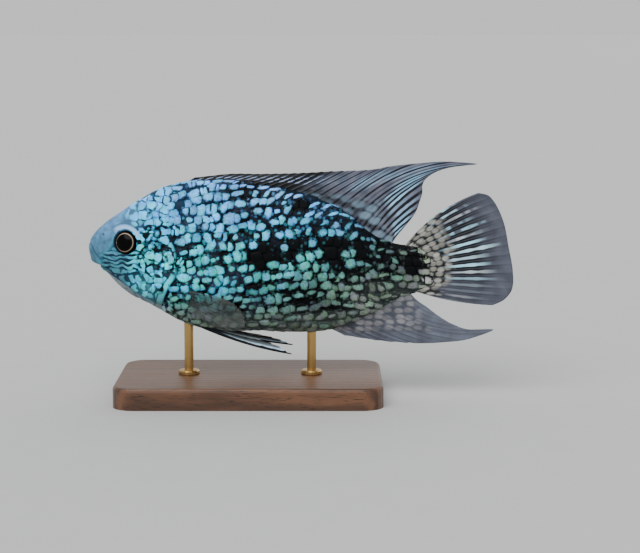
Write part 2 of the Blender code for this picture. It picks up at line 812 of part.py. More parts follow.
skin = material("pearly skin", (0.16, 0.33, 0.36), 0.4)
stalk_skin = material("dark pearly skin", (0.09, 0.15, 0.17), 0.42)
fin_skin = material("fin membrane", (0.16, 0.18, 0.22), 0.45)
eye_glass = material("eye", (0.01, 0.01, 0.012), 0.08)
oak = material("dark stained oak", (0.06, 0.035, 0.022), 0.45)
brass = material("satin brass", (0.62, 0.47, 0.24), 0.3, 1.0)

make_head(skin, eye_glass)
make_trunk(skin, stalk_skin)
make_fins(fin_skin)
make_stand(oak, brass)
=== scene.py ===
import math

import bmesh
import bpy
import numpy as np
from mathutils import Matrix, Vector


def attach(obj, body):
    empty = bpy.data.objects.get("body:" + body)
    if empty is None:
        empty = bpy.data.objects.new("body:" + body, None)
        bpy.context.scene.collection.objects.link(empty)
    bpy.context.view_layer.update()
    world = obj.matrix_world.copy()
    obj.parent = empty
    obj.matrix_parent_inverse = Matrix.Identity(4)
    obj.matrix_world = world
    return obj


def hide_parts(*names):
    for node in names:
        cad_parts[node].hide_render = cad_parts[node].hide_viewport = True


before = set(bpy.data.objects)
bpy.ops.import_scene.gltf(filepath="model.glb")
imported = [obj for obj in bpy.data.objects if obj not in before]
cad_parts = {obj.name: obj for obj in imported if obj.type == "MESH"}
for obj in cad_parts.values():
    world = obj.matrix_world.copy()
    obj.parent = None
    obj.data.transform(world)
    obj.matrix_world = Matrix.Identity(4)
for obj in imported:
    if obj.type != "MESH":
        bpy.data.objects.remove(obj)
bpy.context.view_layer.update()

# A texas cichlid at life size on a display stand, looking along -X with its left side to the
# camera. Sizes are in metres, written as millimetres times MM, or in plain millimetres where a
# name or a comment says so. Those of the fish are counted from the tip of its snout. Z is up and
# the floor is at 0.

# Stand base: one board of dark stained oak, sawn along the grain, its corners rounded and its
# edges eased with a router. The solid has the right form, so it only gets its wood.

OAK_PALE = "#6C4730"
OAK_DARK = "#472D1E"
OAK_PORE = "#1F130C"
OAK_RING_MM = 2.6
OAK_PORE_MM = 0.35


def linear(colour):
    """An sRGB hex colour as the linear values that a shader takes."""
    shares = [int(colour[place : place + 2], 16) / 255 for place in (1, 3, 5)]
    values = [share / 12.92 if share <= 0.04045 else ((share + 0.055) / 1.055) ** 2.4 for share in shares]
    return (*values, 1.0)


def add(tree, kind, inputs=(), stops=None, **settings):
    """Adds a node with its settings, and gives its sockets values or links.

    inputs go by a socket's name or its number among those in use, or in their order. A node
    given as a value is linked by its first output in use. stops are a colour ramp's places
    and hex colours.
    """
    made = tree.nodes.new("ShaderNode" + kind)
    for name, value in settings.items():
        setattr(made, name, value)
    if stops:
        while len(made.color_ramp.elements) < len(stops):
            made.color_ramp.elements.new(1.0)
        for element, (place, colour) in zip(made.color_ramp.elements, stops):
            element.position = place
            element.color = linear(colour)
    used = [socket for socket in made.inputs if socket.enabled]
    for name, value in inputs.items() if isinstance(inputs, dict) else enumerate(inputs):
        socket = used[name] if isinstance(name, int) else next(s for s in used if s.name == name)
        if isinstance(value, bpy.types.Node):
            value = next(s for s in value.outputs if s.enabled)
        if isinstance(value, bpy.types.NodeSocket):
            tree.links.new(value, socket)
        else:
            socket.default_value = value
    return made


def painted(tree, colour, *coats):
    """A colour with others laid over it in turn, each a mask and its paint."""
    colour = linear(colour) if isinstance(colour, str) else colour
    for mask, paint in coats:
        paint = linear(paint) if isinstance(paint, str) else paint
        colour = add(tree, "Mix", {"Factor": mask, "A": colour, "B": paint}, data_type="RGBA")
    return colour


def clouded(tree, place, scale, detail, low, high, start=0.3, end=0.7):
    """A random value that drifts from low to high in clouds, about scale to a unit of the place.

    start and end are what the noise itself lies between.
    """
    noise = add(tree, "TexNoise", {"Vector": place, "Scale": scale, "Detail": detail})
    spread = {"Value": noise, "From Min": start, "From Max": end, "To Min": low, "To Max": high}
    return add(tree, "MapRange", spread)


def new_material(name):
    """An empty material and its node tree."""
    made = bpy.data.materials.new(name)
    made.use_nodes = True
    made.node_tree.nodes.clear()
    return made, made.node_tree


# Stained oak: long growth bands with short black pores under a satin lacquer, duller in clouds
oak, tree = new_material("Dark stained oak")
place = add(tree, "TexCoord").outputs["Object"]
along = add(tree, "Mapping", {"Vector": place, "Scale": (60, 1000 / OAK_RING_MM, 1000 / OAK_RING_MM)})
bend = add(tree, "TexNoise", {"Vector": along, "Scale": 0.12, "Detail": 3.0})
bands = {"Vector": along, "Scale": 0.16, "Distortion": 7.0, "Detail": 3.0}
bands = add(tree, "TexWave", bands, bands_direction="Y").outputs["Fac"]
bands = add(tree, "Mix", {"Factor": 0.45, "A": bands, "B": bend.outputs["Fac"]}, data_type="FLOAT")
wood = add(tree, "ValToRGB", {"Fac": bands}, stops=[(0.25, OAK_DARK), (0.75, OAK_PALE)])
pores_at = add(tree, "Mapping", {"Vector": place, "Scale": (160, 1000 / OAK_PORE_MM, 1000 / OAK_PORE_MM)})
pitted = clouded(tree, pores_at, 1.0, 1.0, 0.0, 1.0, 0.6, 0.72)
wood = painted(tree, wood, (pitted, OAK_PORE))
dents = add(tree, "Bump", {"Strength": 0.25, "Distance": 0.0001, "Height": pitted}, invert=True)
worn = add(tree, "MapRange", {"Value": bend, "To Min": 0.34, "To Max": 0.5})
looks = {"Base Color": wood, "Roughness": worn, "Normal": dents, "IOR": 1.5}
add(tree, "OutputMaterial", {"Surface": add(tree, "BsdfPrincipled", looks)})

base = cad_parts["stand_base"]
base.data.materials.clear()
base.data.materials.append(oak)

# Stand rods: two turned brass rods with a flared foot, brushed round and lacquered. They hold
# the fish under its belly.

BRASS = "#C9A56A"
BRASS_DULL = "#A8854E"
BRUSH_MM = 0.25

# Brushed brass: fine level lines round each rod, and lacquer that has dulled in clouds
brass, tree = new_material("Brushed brass")
place = add(tree, "TexCoord").outputs["Object"]
lines = add(tree, "Mapping", {"Vector": place, "Scale": (40, 40, 1000 / BRUSH_MM)})
brushed = add(tree, "TexNoise", {"Vector": lines, "Scale": 1.0, "Detail": 2.0})
tarnish = add(tree, "TexNoise", {"Vector": place, "Scale": 90.0, "Detail": 3.0})
tone = painted(tree, BRASS, (tarnish, BRASS_DULL))
matt = add(tree, "MapRange", {"Value": brushed, "To Min": 0.22, "To Max": 0.42})
lines = add(tree, "Bump", {"Strength": 0.12, "Distance": 0.00005, "Height": brushed})
looks = {"Base Color": tone, "Metallic": 1.0, "Roughness": matt, "Normal": lines}
add(tree, "OutputMaterial", {"Surface": add(tree, "BsdfPrincipled", looks)})
for name in ("stand_rod_front", "stand_rod_rear"):
    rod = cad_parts[name]
    rod.data.materials.clear()
    rod.data.materials.append(brass)

# Skin: the fish's own skin from the lips to the end of the tail stalk, cast in one piece so
# that no seam shows. It carries the lips, gill covers, eye sockets and folds of the head, and
# lies inside the outline by the depth of the scales where they cover it.

MM = 0.001
SNOUT = Vector((-91.0, 0.0, 85.0)) * MM
BODY = MM * np.array(
    [
        # behind snout, back, belly, half width
        (0.0, 0.0, 0.0, 0.0),
        (2.0, 6.1, -6.9, 5.0),
        (8.2, 12.8, -12.1, 8.6),
        (20.1, 21.2, -24.6, 13.2),
        (40.0, 33.1, -36.0, 18.6),
        (62.7, 38.1, -46.2, 20.8),
        (96.7, 36.1, -48.0, 20.2),
        (130.8, 27.8, -48.2, 15.8),
        (145.0, 20.6, -45.2, 12.8),
        (156.3, 11.2, -40.1, 9.8),
        (167.7, 4.2, -33.8, 7.2),
        (176.2, 1.9, -28.9, 5.4),
        (186.0, 0.8, -26.2, 3.2),
        (190.4, -1.7, -23.5, 2.2),
    ]
)
WIDEST_SHARE = 0.52
BACK_POWER = 1.9
BELLY_POWER = 2.15
COAT_DEPTH = 0.45 * MM
RINGS = 300
ROUND = 240
RING_CROWDING = 1.6

GILL_EDGE = MM * np.array(
    [
        # rear edge of the gill cover: behind snout, height
        (43.2, 10.9),
        (47.6, 6.0),
        (50.5, 0.0),
        (51.8, -8.0),
        (50.4, -14.5),
        (46.8, -19.8),
        (44.2, -25.0),
        (42.6, -29.5),
        (40.8, -34.0),
    ]
)
GILL_BASE_HEIGHT = -33.0 * MM
CHEEK_EDGE = MM * np.array(
    [
        # front edge of the gill cover
        (43.2, 10.9),
        (37.5, 9.6),
        (34.4, 5.0),
        (32.8, -2.0),
        (32.3, -10.0),
        (31.8, -17.0),
        (29.8, -23.5),
        (30.6, -28.6),
        (35.0, -31.2),
    ]
)
GILL_RISE = 1.0 * MM
GILL_LIP = 0.5 * MM
GILL_GROOVE = 0.8 * MM
# Each lip's middle above the line that they meet in, and its half width
LIPS = [(1.9 * MM, 1.5 * MM), (-1.6 * MM, 1.2 * MM)]
LIP_RISE = 0.75 * MM
LIP_END = 9.0 * MM
MOUTH_DEPTH = 2.2 * MM
MOUTH_HALF = 0.38 * MM
MOUTH_END = 11.2 * MM
MOUTH_FRONT = Vector((4.6, -9.6)) * MM
MOUTH_CORNER = Vector((11.8, -11.4)) * MM
EYE_PLACE = Vector((22.1, 4.1)) * MM
EYE_RADIUS = 6.5 * MM
EYE_DOME = 3.3 * MM
EYE_SUNK = 1.2 * MM
SOCKET_RADIUS_MM, SOCKET_RIM_RADIUS_MM = 5.6, 7.1
SOCKET_RIM = 0.75 * MM
SOCKET_DEPTH = 3.4 * MM
BROW_RADIUS_MM = 8.4
BROW_UP = 1.5 * MM
BROW_RISE = 0.5 * MM
NOSTRIL_PLACE = Vector((9.0, 7.8)) * MM
NOSTRIL_RADIUS = 0.8 * MM
NOSTRIL_RIM = 0.25 * MM
NOSTRIL_DEPTH = 1.0 * MM
UV_MARGIN = 0.02
# Folds of the head, in millimetres, each as its line, its depth and its half width
FOLDS = [
    ([(0.6, 3.0), (2.6, 0.4), (4.6, -3.4), (8.6, -8.0)], 0.35, 0.7),
    ([(9.8, -12.6), (15.4, -16.0), (20.1, -19.6), (25.8, -24.6), (28.7, -30.4)], 0.5, 0.6),
    ([(17.0, -22.6), (24.6, -28.2), (30.6, -31.6), (37.5, -33.6)], 0.35, 0.6),
    ([(11.6, -11.4), (12.6, -8.6), (11.2, -5.4)], 0.3, 0.7),
    (CHEEK_EDGE[1:] / MM, 0.35, 0.7),
    ([(27.6, 2.0), (27.0, -3.4), (23.4, -6.4), (18.4, -6.8), (13.6, -4.6)], 0.3, 0.7),
]


def smooth_curve(knots, values, at):
    """Values on the smooth curve that runs through (knots, values)."""
    knots = np.asarray(knots, float)
    values = np.asarray(values, float)
    at = np.clip(np.asarray(at, float), knots[0], knots[-1])
    slope = np.gradient(values, knots, axis=0)
    start = np.clip(np.searchsorted(knots, at) - 1, 0, len(knots) - 2)
    span = knots[start + 1] - knots[start]
    u = (at - knots[start]) / span
    if values.ndim > 1:
        u = u[..., None]
        span = np.asarray(span)[..., None]
    rise = values[start + 1] - values[start]
    first = slope[start] * span
    last = slope[start + 1] * span
    bent = u**2 * (3 * rise - 2 * first - last) + u**3 * (first + last - 2 * rise)
    return values[start] + u * first + bent


def along_points(points, count):
    """Count points, evenly spread by their number, on the smooth curve through the given ones."""
    return smooth_curve(np.arange(len(points)), points, np.linspace(0, len(points) - 1, count))


def ease(share):
    """From 0 to 1 with soft ends, as the share goes from 0 to 1."""
    share = np.clip(share, 0.0, 1.0)
    return share * share * (3 - 2 * share)


def body_surface(x, turn):
    """Points of the body without its folds, at angles that turn up from the right side."""
    back, belly, half_width = np.moveaxis(smooth_curve(np.sqrt(BODY[:, 0]), BODY[:, 1:], np.sqrt(x)), -1, 0)
    level = belly + WIDEST_SHARE * (back - belly)
    across = np.cos(turn)
    up = np.sin(turn)
    power = np.where(up > 0, BACK_POWER, BELLY_POWER)
    reach = np.where(up > 0, back - level, level - belly)
    y = half_width * np.sign(across) * np.abs(across) ** (2 / power)
    z = level + reach * np.sign(up) * np.abs(up) ** (2 / power)
    return np.stack([x, y, z], axis=-1)


def line_distance(x, z, line):
    """How far each place on the side is from a line of points."""
    nearest = np.full(x.shape, np.inf)
    for (x0, z0), (x1, z1) in zip(line[:-1], line[1:]):
        length = (x1 - x0) ** 2 + (z1 - z0) ** 2
        share = np.clip(((x - x0) * (x1 - x0) + (z - z0) * (z1 - z0)) / length, 0, 1)
        nearest = np.minimum(nearest, np.hypot(x - x0 - share * (x1 - x0), z - z0 - share * (z1 - z0)))
    return nearest


def edge_at(line, z):
    """How far behind the snout an edge of the gill cover lies at a height."""
    line = along_points(line, 40)
    return np.interp(-z, -line[:, 1], line[:, 0])


def over_mouth(x, z):
    """How far a place is above the line that the lips meet in."""
    share = (x - MOUTH_FRONT.x) / (MOUTH_CORNER.x - MOUTH_FRONT.x)
    return z - MOUTH_FRONT.y - share * (MOUTH_CORNER.y - MOUTH_FRONT.y)


def ridge(off, width, power=2):
    """1 where off is 0, fallen to about a third at the width to either side."""
    return np.exp(-((off / width) ** power))


def relief(x, z):
    """How far the skin stands out of the plain body at a place on the side."""
    rear, front = edge_at(GILL_EDGE, z), edge_at(CHEEK_EDGE, z)
    past = x - rear
    cover = ease((z - GILL_BASE_HEIGHT) / (5 * MM)) * (z < GILL_EDGE[0, 1])
    step = 1 - ease(past / GILL_LIP)
    out = GILL_RISE * ease((x - front) / (rear - front + MM)) * cover * step
    out -= GILL_GROOVE * cover * (1 - step) * (1 - ease((past - GILL_LIP) / (1.8 * MM)))

    off = over_mouth(x, z)
    lips = sum(ridge(off - middle, half_width) for middle, half_width in LIPS)
    out += LIP_RISE * lips * (1 - ease((x - LIP_END) / (3.4 * MM)))
    out -= MOUTH_DEPTH * ridge(off, MOUTH_HALF) * (1 - ease((x - MOUTH_END) / (1.2 * MM)))

    for line, depth, half_width in FOLDS:
        out -= depth * MM * ridge(line_distance(x, z, MM * along_points(line, 30)), half_width * MM)

    # The eye's socket with its rim, and the fold of the brow above it
    off_x, off_z = x - EYE_PLACE.x, z - EYE_PLACE.y
    eye = np.hypot(off_x, off_z) / MM
    out += SOCKET_RIM * ridge(eye - SOCKET_RIM_RADIUS_MM, 0.75)
    out -= SOCKET_DEPTH * (1 - ease((eye - SOCKET_RADIUS_MM) / 1.1))
    brow = np.hypot(off_x, off_z - BROW_UP) / MM
    out += BROW_RISE * ridge(brow - BROW_RADIUS_MM, 0.9) * ease((off_z - 2 * MM) / (4 * MM))
    nostril = np.hypot(x - NOSTRIL_PLACE.x, z - NOSTRIL_PLACE.y) / NOSTRIL_RADIUS
    return out + NOSTRIL_RIM * ridge(nostril - 1.6, 0.5) - NOSTRIL_DEPTH * (1 - ease((nostril - 0.5) / 0.7))


def coat_share(x):
    """1 where scales cover the skin, 0 on the snout and at the end of the body."""
    return ease((x - 24 * MM) / (8 * MM)) * (1 - ease((x - 188 * MM) / (2 * MM)))


def skin_table(x, turn, coat):
    """Places and ways out of the skin, and the plain body's places, over a grid of rings and turns."""
    x, turn = np.meshgrid(x, turn, indexing="ij")
    plain = body_surface(x, turn)
    ahead = np.gradient(plain, axis=0)
    round_it = np.gradient(plain, axis=1)
    out = np.cross(ahead, round_it)
    length = np.linalg.norm(out, axis=-1, keepdims=True)
    out = np.divide(out, length, out=np.zeros_like(out), where=length > 0)
    out[0] = (-1.0, 0.0, 0.0)
    if np.sum(out * (plain - plain.mean(axis=1, keepdims=True))) < 0:
        out[1:] *= -1
    rise = relief(plain[..., 0], plain[..., 2]) - coat * COAT_DEPTH * coat_share(plain[..., 0])
    return plain + out * rise[..., None], out, plain


def put_skin(obj, places, maps):
    """Moves an object's points to the places given from the snout, and gives it UV maps.

    maps holds, by name, a pair of values for each point.
    """
    mesh = obj.data
    mesh.vertices.foreach_set("co", (places + np.array(SNOUT)).astype(np.float32).ravel())
    corner = np.empty(len(mesh.loops), np.int32)
    mesh.loops.foreach_get("vertex_index", corner)
    for name, values in maps.items():
        layer = mesh.uv_layers.new(name=name)
        layer.data.foreach_set("uv", values[corner].astype(np.float32).ravel())
    mesh.update()


def new_object(name, bm):
    """An object with the shape that was built, at the origin."""
    mesh = bpy.data.meshes.new(name)
    bm.to_mesh(mesh)
    bm.free()
    made = bpy.data.objects.new(name, mesh)
    bpy.context.scene.collection.objects.link(made)
    return made


def face_out(bm):
    """Turns a closed shape's faces outwards."""
    bmesh.ops.recalc_face_normals(bm, faces=bm.faces[:])
    if bm.calc_volume(signed=True) < 0:
        bmesh.ops.reverse_faces(bm, faces=bm.faces[:])


ring_x = BODY[-1, 0] * np.linspace(0, 1, RINGS + 1) ** RING_CROWDING
ring_turn = np.linspace(0, 2 * math.pi, ROUND + 1)
skin_places = skin_table(ring_x, ring_turn, 1.0)[0]
bm = bmesh.new()
bmesh.ops.create_grid(bm, x_segments=ROUND, y_segments=RINGS, size=0.5)
skin = new_object("skin", bm)
grid = np.empty(len(skin.data.vertices) * 3, np.float32)
skin.data.vertices.foreach_get("co", grid)
grid = grid.reshape(-1, 3)
step_round = np.rint((grid[:, 0] + 0.5) * ROUND).astype(int)
step_along = np.rint((grid[:, 1] + 0.5) * RINGS).astype(int)
unwrapped = UV_MARGIN + (1 - 2 * UV_MARGIN) * np.stack([step_along / RINGS, step_round / ROUND], axis=1)

# Where the head is bare, as the rear limit of the bare snout by height, and the top of the throat
BARE_LIMIT = MM * np.array(
    [
        # height above the snout, behind snout
        (-18.0, 7.0),
        (-14.0, 10.5),
        (-10.5, 9.0),
        (-8.0, 7.0),
        (-4.0, 8.0),
        (0.0, 13.0),
        (6.0, 17.0),
        (12.0, 18.5),
        (18.0, 20.0),
        (26.0, 23.0),
        (34.0, 28.0),
    ]
)
THROAT_TOP = MM * np.array(
    [
        # behind snout, height
        (8.0, -12.4),
        (10.5, -13.4),
        (20.1, -19.4),
        (25.8, -24.0),
        (30.0, -26.8),
        (35.0, -29.5),
        (41.0, -31.6),
        (48.0, -34.0),
    ]
)
at = body_surface(ring_x[step_along], ring_turn[step_round])
x, z = at[:, 0], at[:, 2]
bare = ease((np.interp(z, BARE_LIMIT[:, 0], BARE_LIMIT[:, 1]) - x) / (5 * MM) + 0.5)
# The wavy lines lie in a field under the eye
striped = ease((x - 7 * MM) / (3 * MM)) * ease((31 * MM - x) / (4 * MM))
striped *= ease((1 * MM - z) / (2 * MM)) * ease((z + 12.5 * MM) / (2 * MM))
under_throat = np.interp(x, THROAT_TOP[:, 0], THROAT_TOP[:, 1]) - z
throat = ease(under_throat / (1.2 * MM) + 0.5) * ease((47 * MM - x) / (3 * MM))
beside_gill = (z > GILL_BASE_HEIGHT) & (z < 11 * MM)
past_gill = np.where(beside_gill, x - edge_at(GILL_EDGE, z), 1.0)
# The brow is a pale bow over the eye. rim holds the dark lines of the head, and painted shade in its folds
# and mouth line
off_x, off_z = (x - EYE_PLACE.x) / MM, (z - EYE_PLACE.y) / MM
far = np.hypot(off_x, off_z)
turned = np.degrees(np.arctan2(off_z, off_x))
above = ease((turned - 15) / 20) * ease((145 - turned) / 25)
brow = ridge(far - 8.2 - 0.3 * above, 1.3, 4) * above
rim = np.clip(ease((7.0 - far) / 0.6) + 0.8 * ridge(far - 10.5, 0.4) * above, 0, 1)
# Painted shade darkens the middle of each fold
for line, depth, half_width in FOLDS:
    shade_in_fold = ridge(line_distance(x, z, MM * along_points(line, 30)), 0.7 * half_width * MM)
    rim = np.maximum(rim, 0.5 * shade_in_fold)
# Painted shade along the groove where the lips meet
shade_in_mouth_line = ridge(over_mouth(x, z), 0.45 * MM) * ease((MOUTH_CORNER.x + MM - x) / (2 * MM))
rim = np.maximum(rim, 0.85 * shade_in_mouth_line)
throat_line = ridge(under_throat, 0.4 * MM) * ease((46 * MM - x) / (3 * MM)) * (x > 8 * MM)
rim = np.maximum(rim, 0.8 * throat_line)
fields = {
    "OFBake": unwrapped,
    "Bare": np.stack([bare, striped], axis=1),
    "Gill": np.stack([past_gill / MM, throat], axis=1),
    "Brow": np.stack([brow, rim], axis=1),
}
put_skin(skin, skin_places[step_along, step_round], fields)
bm = bmesh.new()
bm.from_mesh(skin.data)
bmesh.ops.remove_doubles(bm, verts=bm.verts[:], dist=1e-6)
bmesh.ops.holes_fill(bm, edges=[edge for edge in bm.edges if edge.is_boundary], sides=0)
face_out(bm)
bm.to_mesh(skin.data)
bm.free()
skin.data.shade_smooth()
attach(skin, "root")
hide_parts("head", "lower_jaw", "gill_cover_left", "gill_cover_right", "trunk", "tail_stalk")

# Markings: the fish's colours as a painter lays them on, the same on skin and scales. Those of
# the pearls run from the belly up to the nape, once for the front of the fish and once for its
# rear.

PEARLS_FRONT = [
    (0.00, "#A0A8A4"),
    (0.08, "#929C98"),
    (0.18, "#6CA2A8"),
    (0.30, "#44CCEA"),
    (0.50, "#50DCEC"),
    (0.66, "#50CCFA"),
    (0.80, "#5EC2FF"),
    (1.00, "#70BCFF"),
]
PEARLS_REAR = [
    (0.00, "#75766E"),
    (0.18, "#5E706A"),
    (0.34, "#608A82"),
    (0.50, "#60BEC0"),
    (0.70, "#58BCEC"),
    (0.84, "#6CC2FA"),
    (1.00, "#8FB0E8"),
]
STALK_PEARL = "#525C5A"
UNDER_STALK_PEARL = "#868A82"
TAIL_BASE_PEARL = "#A3A298"
GREENER_TINT = (0.84, 1.1, 0.86, 1.0)
BLUER_TINT = (1.0, 0.93, 1.2, 1.0)
SNOUT_COLOURS = [(0.0, "#4C7A8E"), (0.45, "#5080A0"), (1.0, "#6A9CD2")]
THROAT_COLOUR = "#8698A2"
BROW_COLOUR = "#A8D0FF"
GROUND = "#020306"
GROUND_FRONT = "#021015"
GROUND_NAPE = "#12304C"
GROUND_FOREHEAD = "#44698A"
GROUND_REAR = "#1C2838"
GROUND_SHADE = "#3E4A62"
GROUND_BELLY = "#444F4D"
GROUND_SNOUT = "#1C3246"
GROUND_CHEEK = "#386C7E"
BLOTCHES = [
    # middle behind snout, height, half length, half height, all in millimetres
    (99.6, -3.2, 9.4, 8.0),
    (137.4, -1.8, 6.0, 8.8),
    (153.6, -1.4, 4.0, 6.4),
    (183.6, -9.6, 4.4, 7.4),
    (120.0, 24.6, 5.4, 3.4),
    (114.8, -0.8, 4.4, 5.0),
    (167.0, -4.4, 4.0, 3.6),
]
LOWEST_MM, HIGHEST_MM = -46.0, 38.0
CELL_MM = (4.9, 4.5)
CELL_WANDER_MM = 3.2
WAVE_MM = 2.5


def side_places(tree):
    """Distance behind the snout and height above it, in millimetres, and the vector of both."""
    place = add(tree, "TexCoord").outputs["Object"]
    shift = (-1000 * SNOUT.x, 0, -1000 * SNOUT.z)
    place = add(tree, "Mapping", {"Vector": place, "Location": shift, "Scale": (1000, 1000, 1000)})
    apart = add(tree, "SeparateXYZ", {"Vector": place})
    return apart.outputs["X"], apart.outputs["Z"], place


def map_values(tree, name):
    """The two values of a piece's own UV map."""
    apart = add(tree, "SeparateXYZ", {"Vector": add(tree, "UVMap", uv_map=name)})
    return apart.outputs["X"], apart.outputs["Y"]


def within(tree, *limits, most=1.0, smooth=False):
    """A mask: the product of ramps, each a value, where its ramp is 0 and where it is full.

    The first ramp rises to most and the others to 1, and smooth rounds them off at both ends.
    """
    total = None
    for value, none, full in limits:
        ramp = {"Value": value, "From Min": none, "From Max": full, "To Max": most if total is None else 1.0}
        ramp = add(tree, "MapRange", ramp, interpolation_type="SMOOTHSTEP" if smooth else "LINEAR")
        total = ramp if total is None else add(tree, "Math", (total, ramp), operation="MULTIPLY")
    return total


def pearl_colour(tree, x, z, place):
    """The colour of the pearls at a place on the side."""
    height = within(tree, (z, LOWEST_MM, HIGHEST_MM))
    front = add(tree, "ValToRGB", {"Fac": height}, stops=PEARLS_FRONT)
    rear = add(tree, "ValToRGB", {"Fac": height}, stops=PEARLS_REAR)
    body = painted(
        tree,
        front,
        (within(tree, (x, 60.0, 140.0), smooth=True), rear),
        (within(tree, (x, 126.0, 178.0), smooth=True), STALK_PEARL),
        (within(tree, (x, 132.0, 158.0), (z, -12.0, -25.0)), UNDER_STALK_PEARL),
        (within(tree, (x, 183.0, 192.0), smooth=True), TAIL_BASE_PEARL),
    )
    drift = clouded(tree, place, 0.24, 2.0, 0.0, 1.0, 0.36, 0.64)
    tint = painted(tree, GREENER_TINT, (drift, BLUER_TINT))
    for tone in (tint, clouded(tree, place, 0.09, 2.0, 0.75, 1.25)):
        body = add(tree, "VectorMath", (body, tone), operation="MULTIPLY")
    return body


def ground_colour(tree, x, z, place):
    """The dark colour between the pearls, paler in clouds, on the nape and along the belly."""
    shade = clouded(tree, place, 0.11, 3.0, 0.0, 0.7, 0.46, 0.7)
    in_front = within(tree, (x, 118.0, 70.0), (x, 34.0, 46.0))
    shade = add(tree, "Math", (shade, in_front), operation="MULTIPLY")
    under_stalk = within(tree, (x, 138.0, 165.0), (z, -15.0, -24.0), most=0.5)
    low = add(tree, "Math", (within(tree, (z, -33.0, -42.0)), under_stalk), operation="MAXIMUM")
    return painted(
        tree,
        GROUND_FRONT,
        (within(tree, (x, 40.0, 85.0)), GROUND),
        (shade, GROUND_SHADE),
        (within(tree, (z, -11.0, -20.0), (x, 42.0, 35.0)), GROUND_CHEEK),
        (within(tree, (x, 30.0, 21.0)), GROUND_SNOUT),
        (within(tree, (z, 12.0, 27.0), (x, 86.0, 44.0)), GROUND_NAPE),
        (within(tree, (z, 9.0, 15.0), (x, 36.0, 26.0)), GROUND_FOREHEAD),
        (within(tree, (z, 4.0, 24.0), (x, 86.0, 125.0), most=0.8), GROUND_REAR),
        (low, GROUND_BELLY),
    )


def blotched(tree, x, z, place):
    """1 inside the black blotches of the side, 0 outside, with a ragged edge."""
    ragged = clouded(tree, place, 0.28, 2.0, -0.45, 0.45, 0.25, 0.75)
    side = add(tree, "CombineXYZ", (x, z))
    total = None
    for middle_x, middle_z, half_x, half_z in BLOTCHES:
        off = add(tree, "VectorMath", (side, (middle_x, middle_z, 0)), operation="SUBTRACT")
        off = add(tree, "VectorMath", (off, (1 / half_x, 1 / half_z, 1)), operation="MULTIPLY")
        far = add(tree, "VectorMath", (off,), operation="LENGTH").outputs["Value"]
        inside = within(tree, (add(tree, "Math", (far, ragged), operation="ADD"), 1.2, 0.85))
        total = inside if total is None else add(tree, "Math", (total, inside), operation="MAXIMUM")
    return total


def head_cells(tree, z, place):
    """The round-cornered cells of the cheek: 1 inside them, and a tone for each."""
    wander = add(tree, "TexNoise", {"Vector": place, "Scale": 0.22, "Detail": 0.0})
    wander = add(tree, "VectorMath", (wander.outputs["Color"], (0.5, 0.5, 0.5)), operation="SUBTRACT")
    wander = add(tree, "VectorMath", {0: wander, "Scale": CELL_WANDER_MM}, operation="SCALE")
    moved = add(tree, "VectorMath", (place, wander), operation="ADD")
    moved = add(tree, "Mapping", {"Vector": moved, "Scale": (1 / CELL_MM[0], 0.0, 1 / CELL_MM[1])})
    cell = {"Vector": moved, "Scale": 1.0, "Randomness": 0.62}
    cells = add(tree, "TexVoronoi", cell, feature="DISTANCE_TO_EDGE")
    tones = add(tree, "TexVoronoi", cell)
    # On the forehead and the nape the dark lines are thin
    low = add(tree, "MapRange", {"Value": z, "From Min": 20.0, "From Max": 8.0, "To Min": 0.5})
    wide = clouded(tree, place, 0.3, 0.0, -0.1, 0.18)
    wide = add(tree, "Math", (wide, low), operation="MULTIPLY")
    wider = add(tree, "Math", (wide, 0.1), operation="ADD")
    inside = within(tree, (cells.outputs["Distance"], wide, wider))
    cut = add(tree, "MapRange", {"Value": low, "From Min": 0.5, "To Min": 0.4})
    rounded = within(tree, (tones.outputs["Distance"], 0.66, 0.54))
    rounded = add(tree, "Mix", {"Factor": cut, "A": 1.0, "B": rounded}, data_type="FLOAT")
    inside = add(tree, "Math", (inside, rounded), operation="MULTIPLY")
    tone = add(tree, "SeparateColor", {"Color": tones.outputs["Color"]})
    return inside, add(tree, "MapRange", {"Value": tone, "To Min": 0.95, "To Max": 1.4})


def hide_finish(tree, colour, pearl):
    """Satin varnish over painted skin: pearls are smoother than the dark ground between them."""
    matt = add(tree, "MapRange", {"Value": pearl, "To Min": 0.6, "To Max": 0.38})
    bump = add(tree, "Bump", {"Strength": 0.4, "Distance": 0.0003, "Height": pearl})
    looks = {"Base Color": colour, "Roughness": matt, "Normal": bump, "IOR": 1.4, "Specular IOR Level": 0.15}
    add(tree, "OutputMaterial", {"Surface": add(tree, "BsdfPrincipled", looks)})


# Painted skin: the bare snout is smooth grey blue, wavy pale lines run under the eye, and
# round-cornered pearls with dark lines between them cover the cheek and gill cover
skin_paint, tree = new_material("Painted cichlid skin")
x, z, place = side_places(tree)
bare, striped = map_values(tree, "Bare")
past_gill, throat = map_values(tree, "Gill")
on_brow, dark_lines_and_crease_shade = map_values(tree, "Brow")
in_cell, cell_tone = head_cells(tree, z, place)
# The wavy lines under the eye are drawn as bands with broken ends
sway = add(tree, "TexNoise", {"Vector": place, "Scale": 0.14, "Detail": 1.0})
sway = add(tree, "Math", (sway, 2 * WAVE_MM), operation="MULTIPLY")
wave = add(tree, "Math", (z, sway), operation="ADD")
wave = add(tree, "Math", (wave, 2 * math.pi / WAVE_MM), operation="MULTIPLY")
wave = add(tree, "Math", (wave,), operation="SINE")
break_at = add(tree, "Mapping", {"Vector": place, "Scale": (0.16, 0.0, 0.5)})
breaks = clouded(tree, break_at, 1.0, 0.0, -0.9, 0.5)
in_line = within(tree, (add(tree, "Math", (wave, breaks), operation="SUBTRACT"), -0.3, 0.5))
pearl = add(tree, "Mix", {"Factor": striped, "A": in_cell, "B": in_line}, data_type="FLOAT")
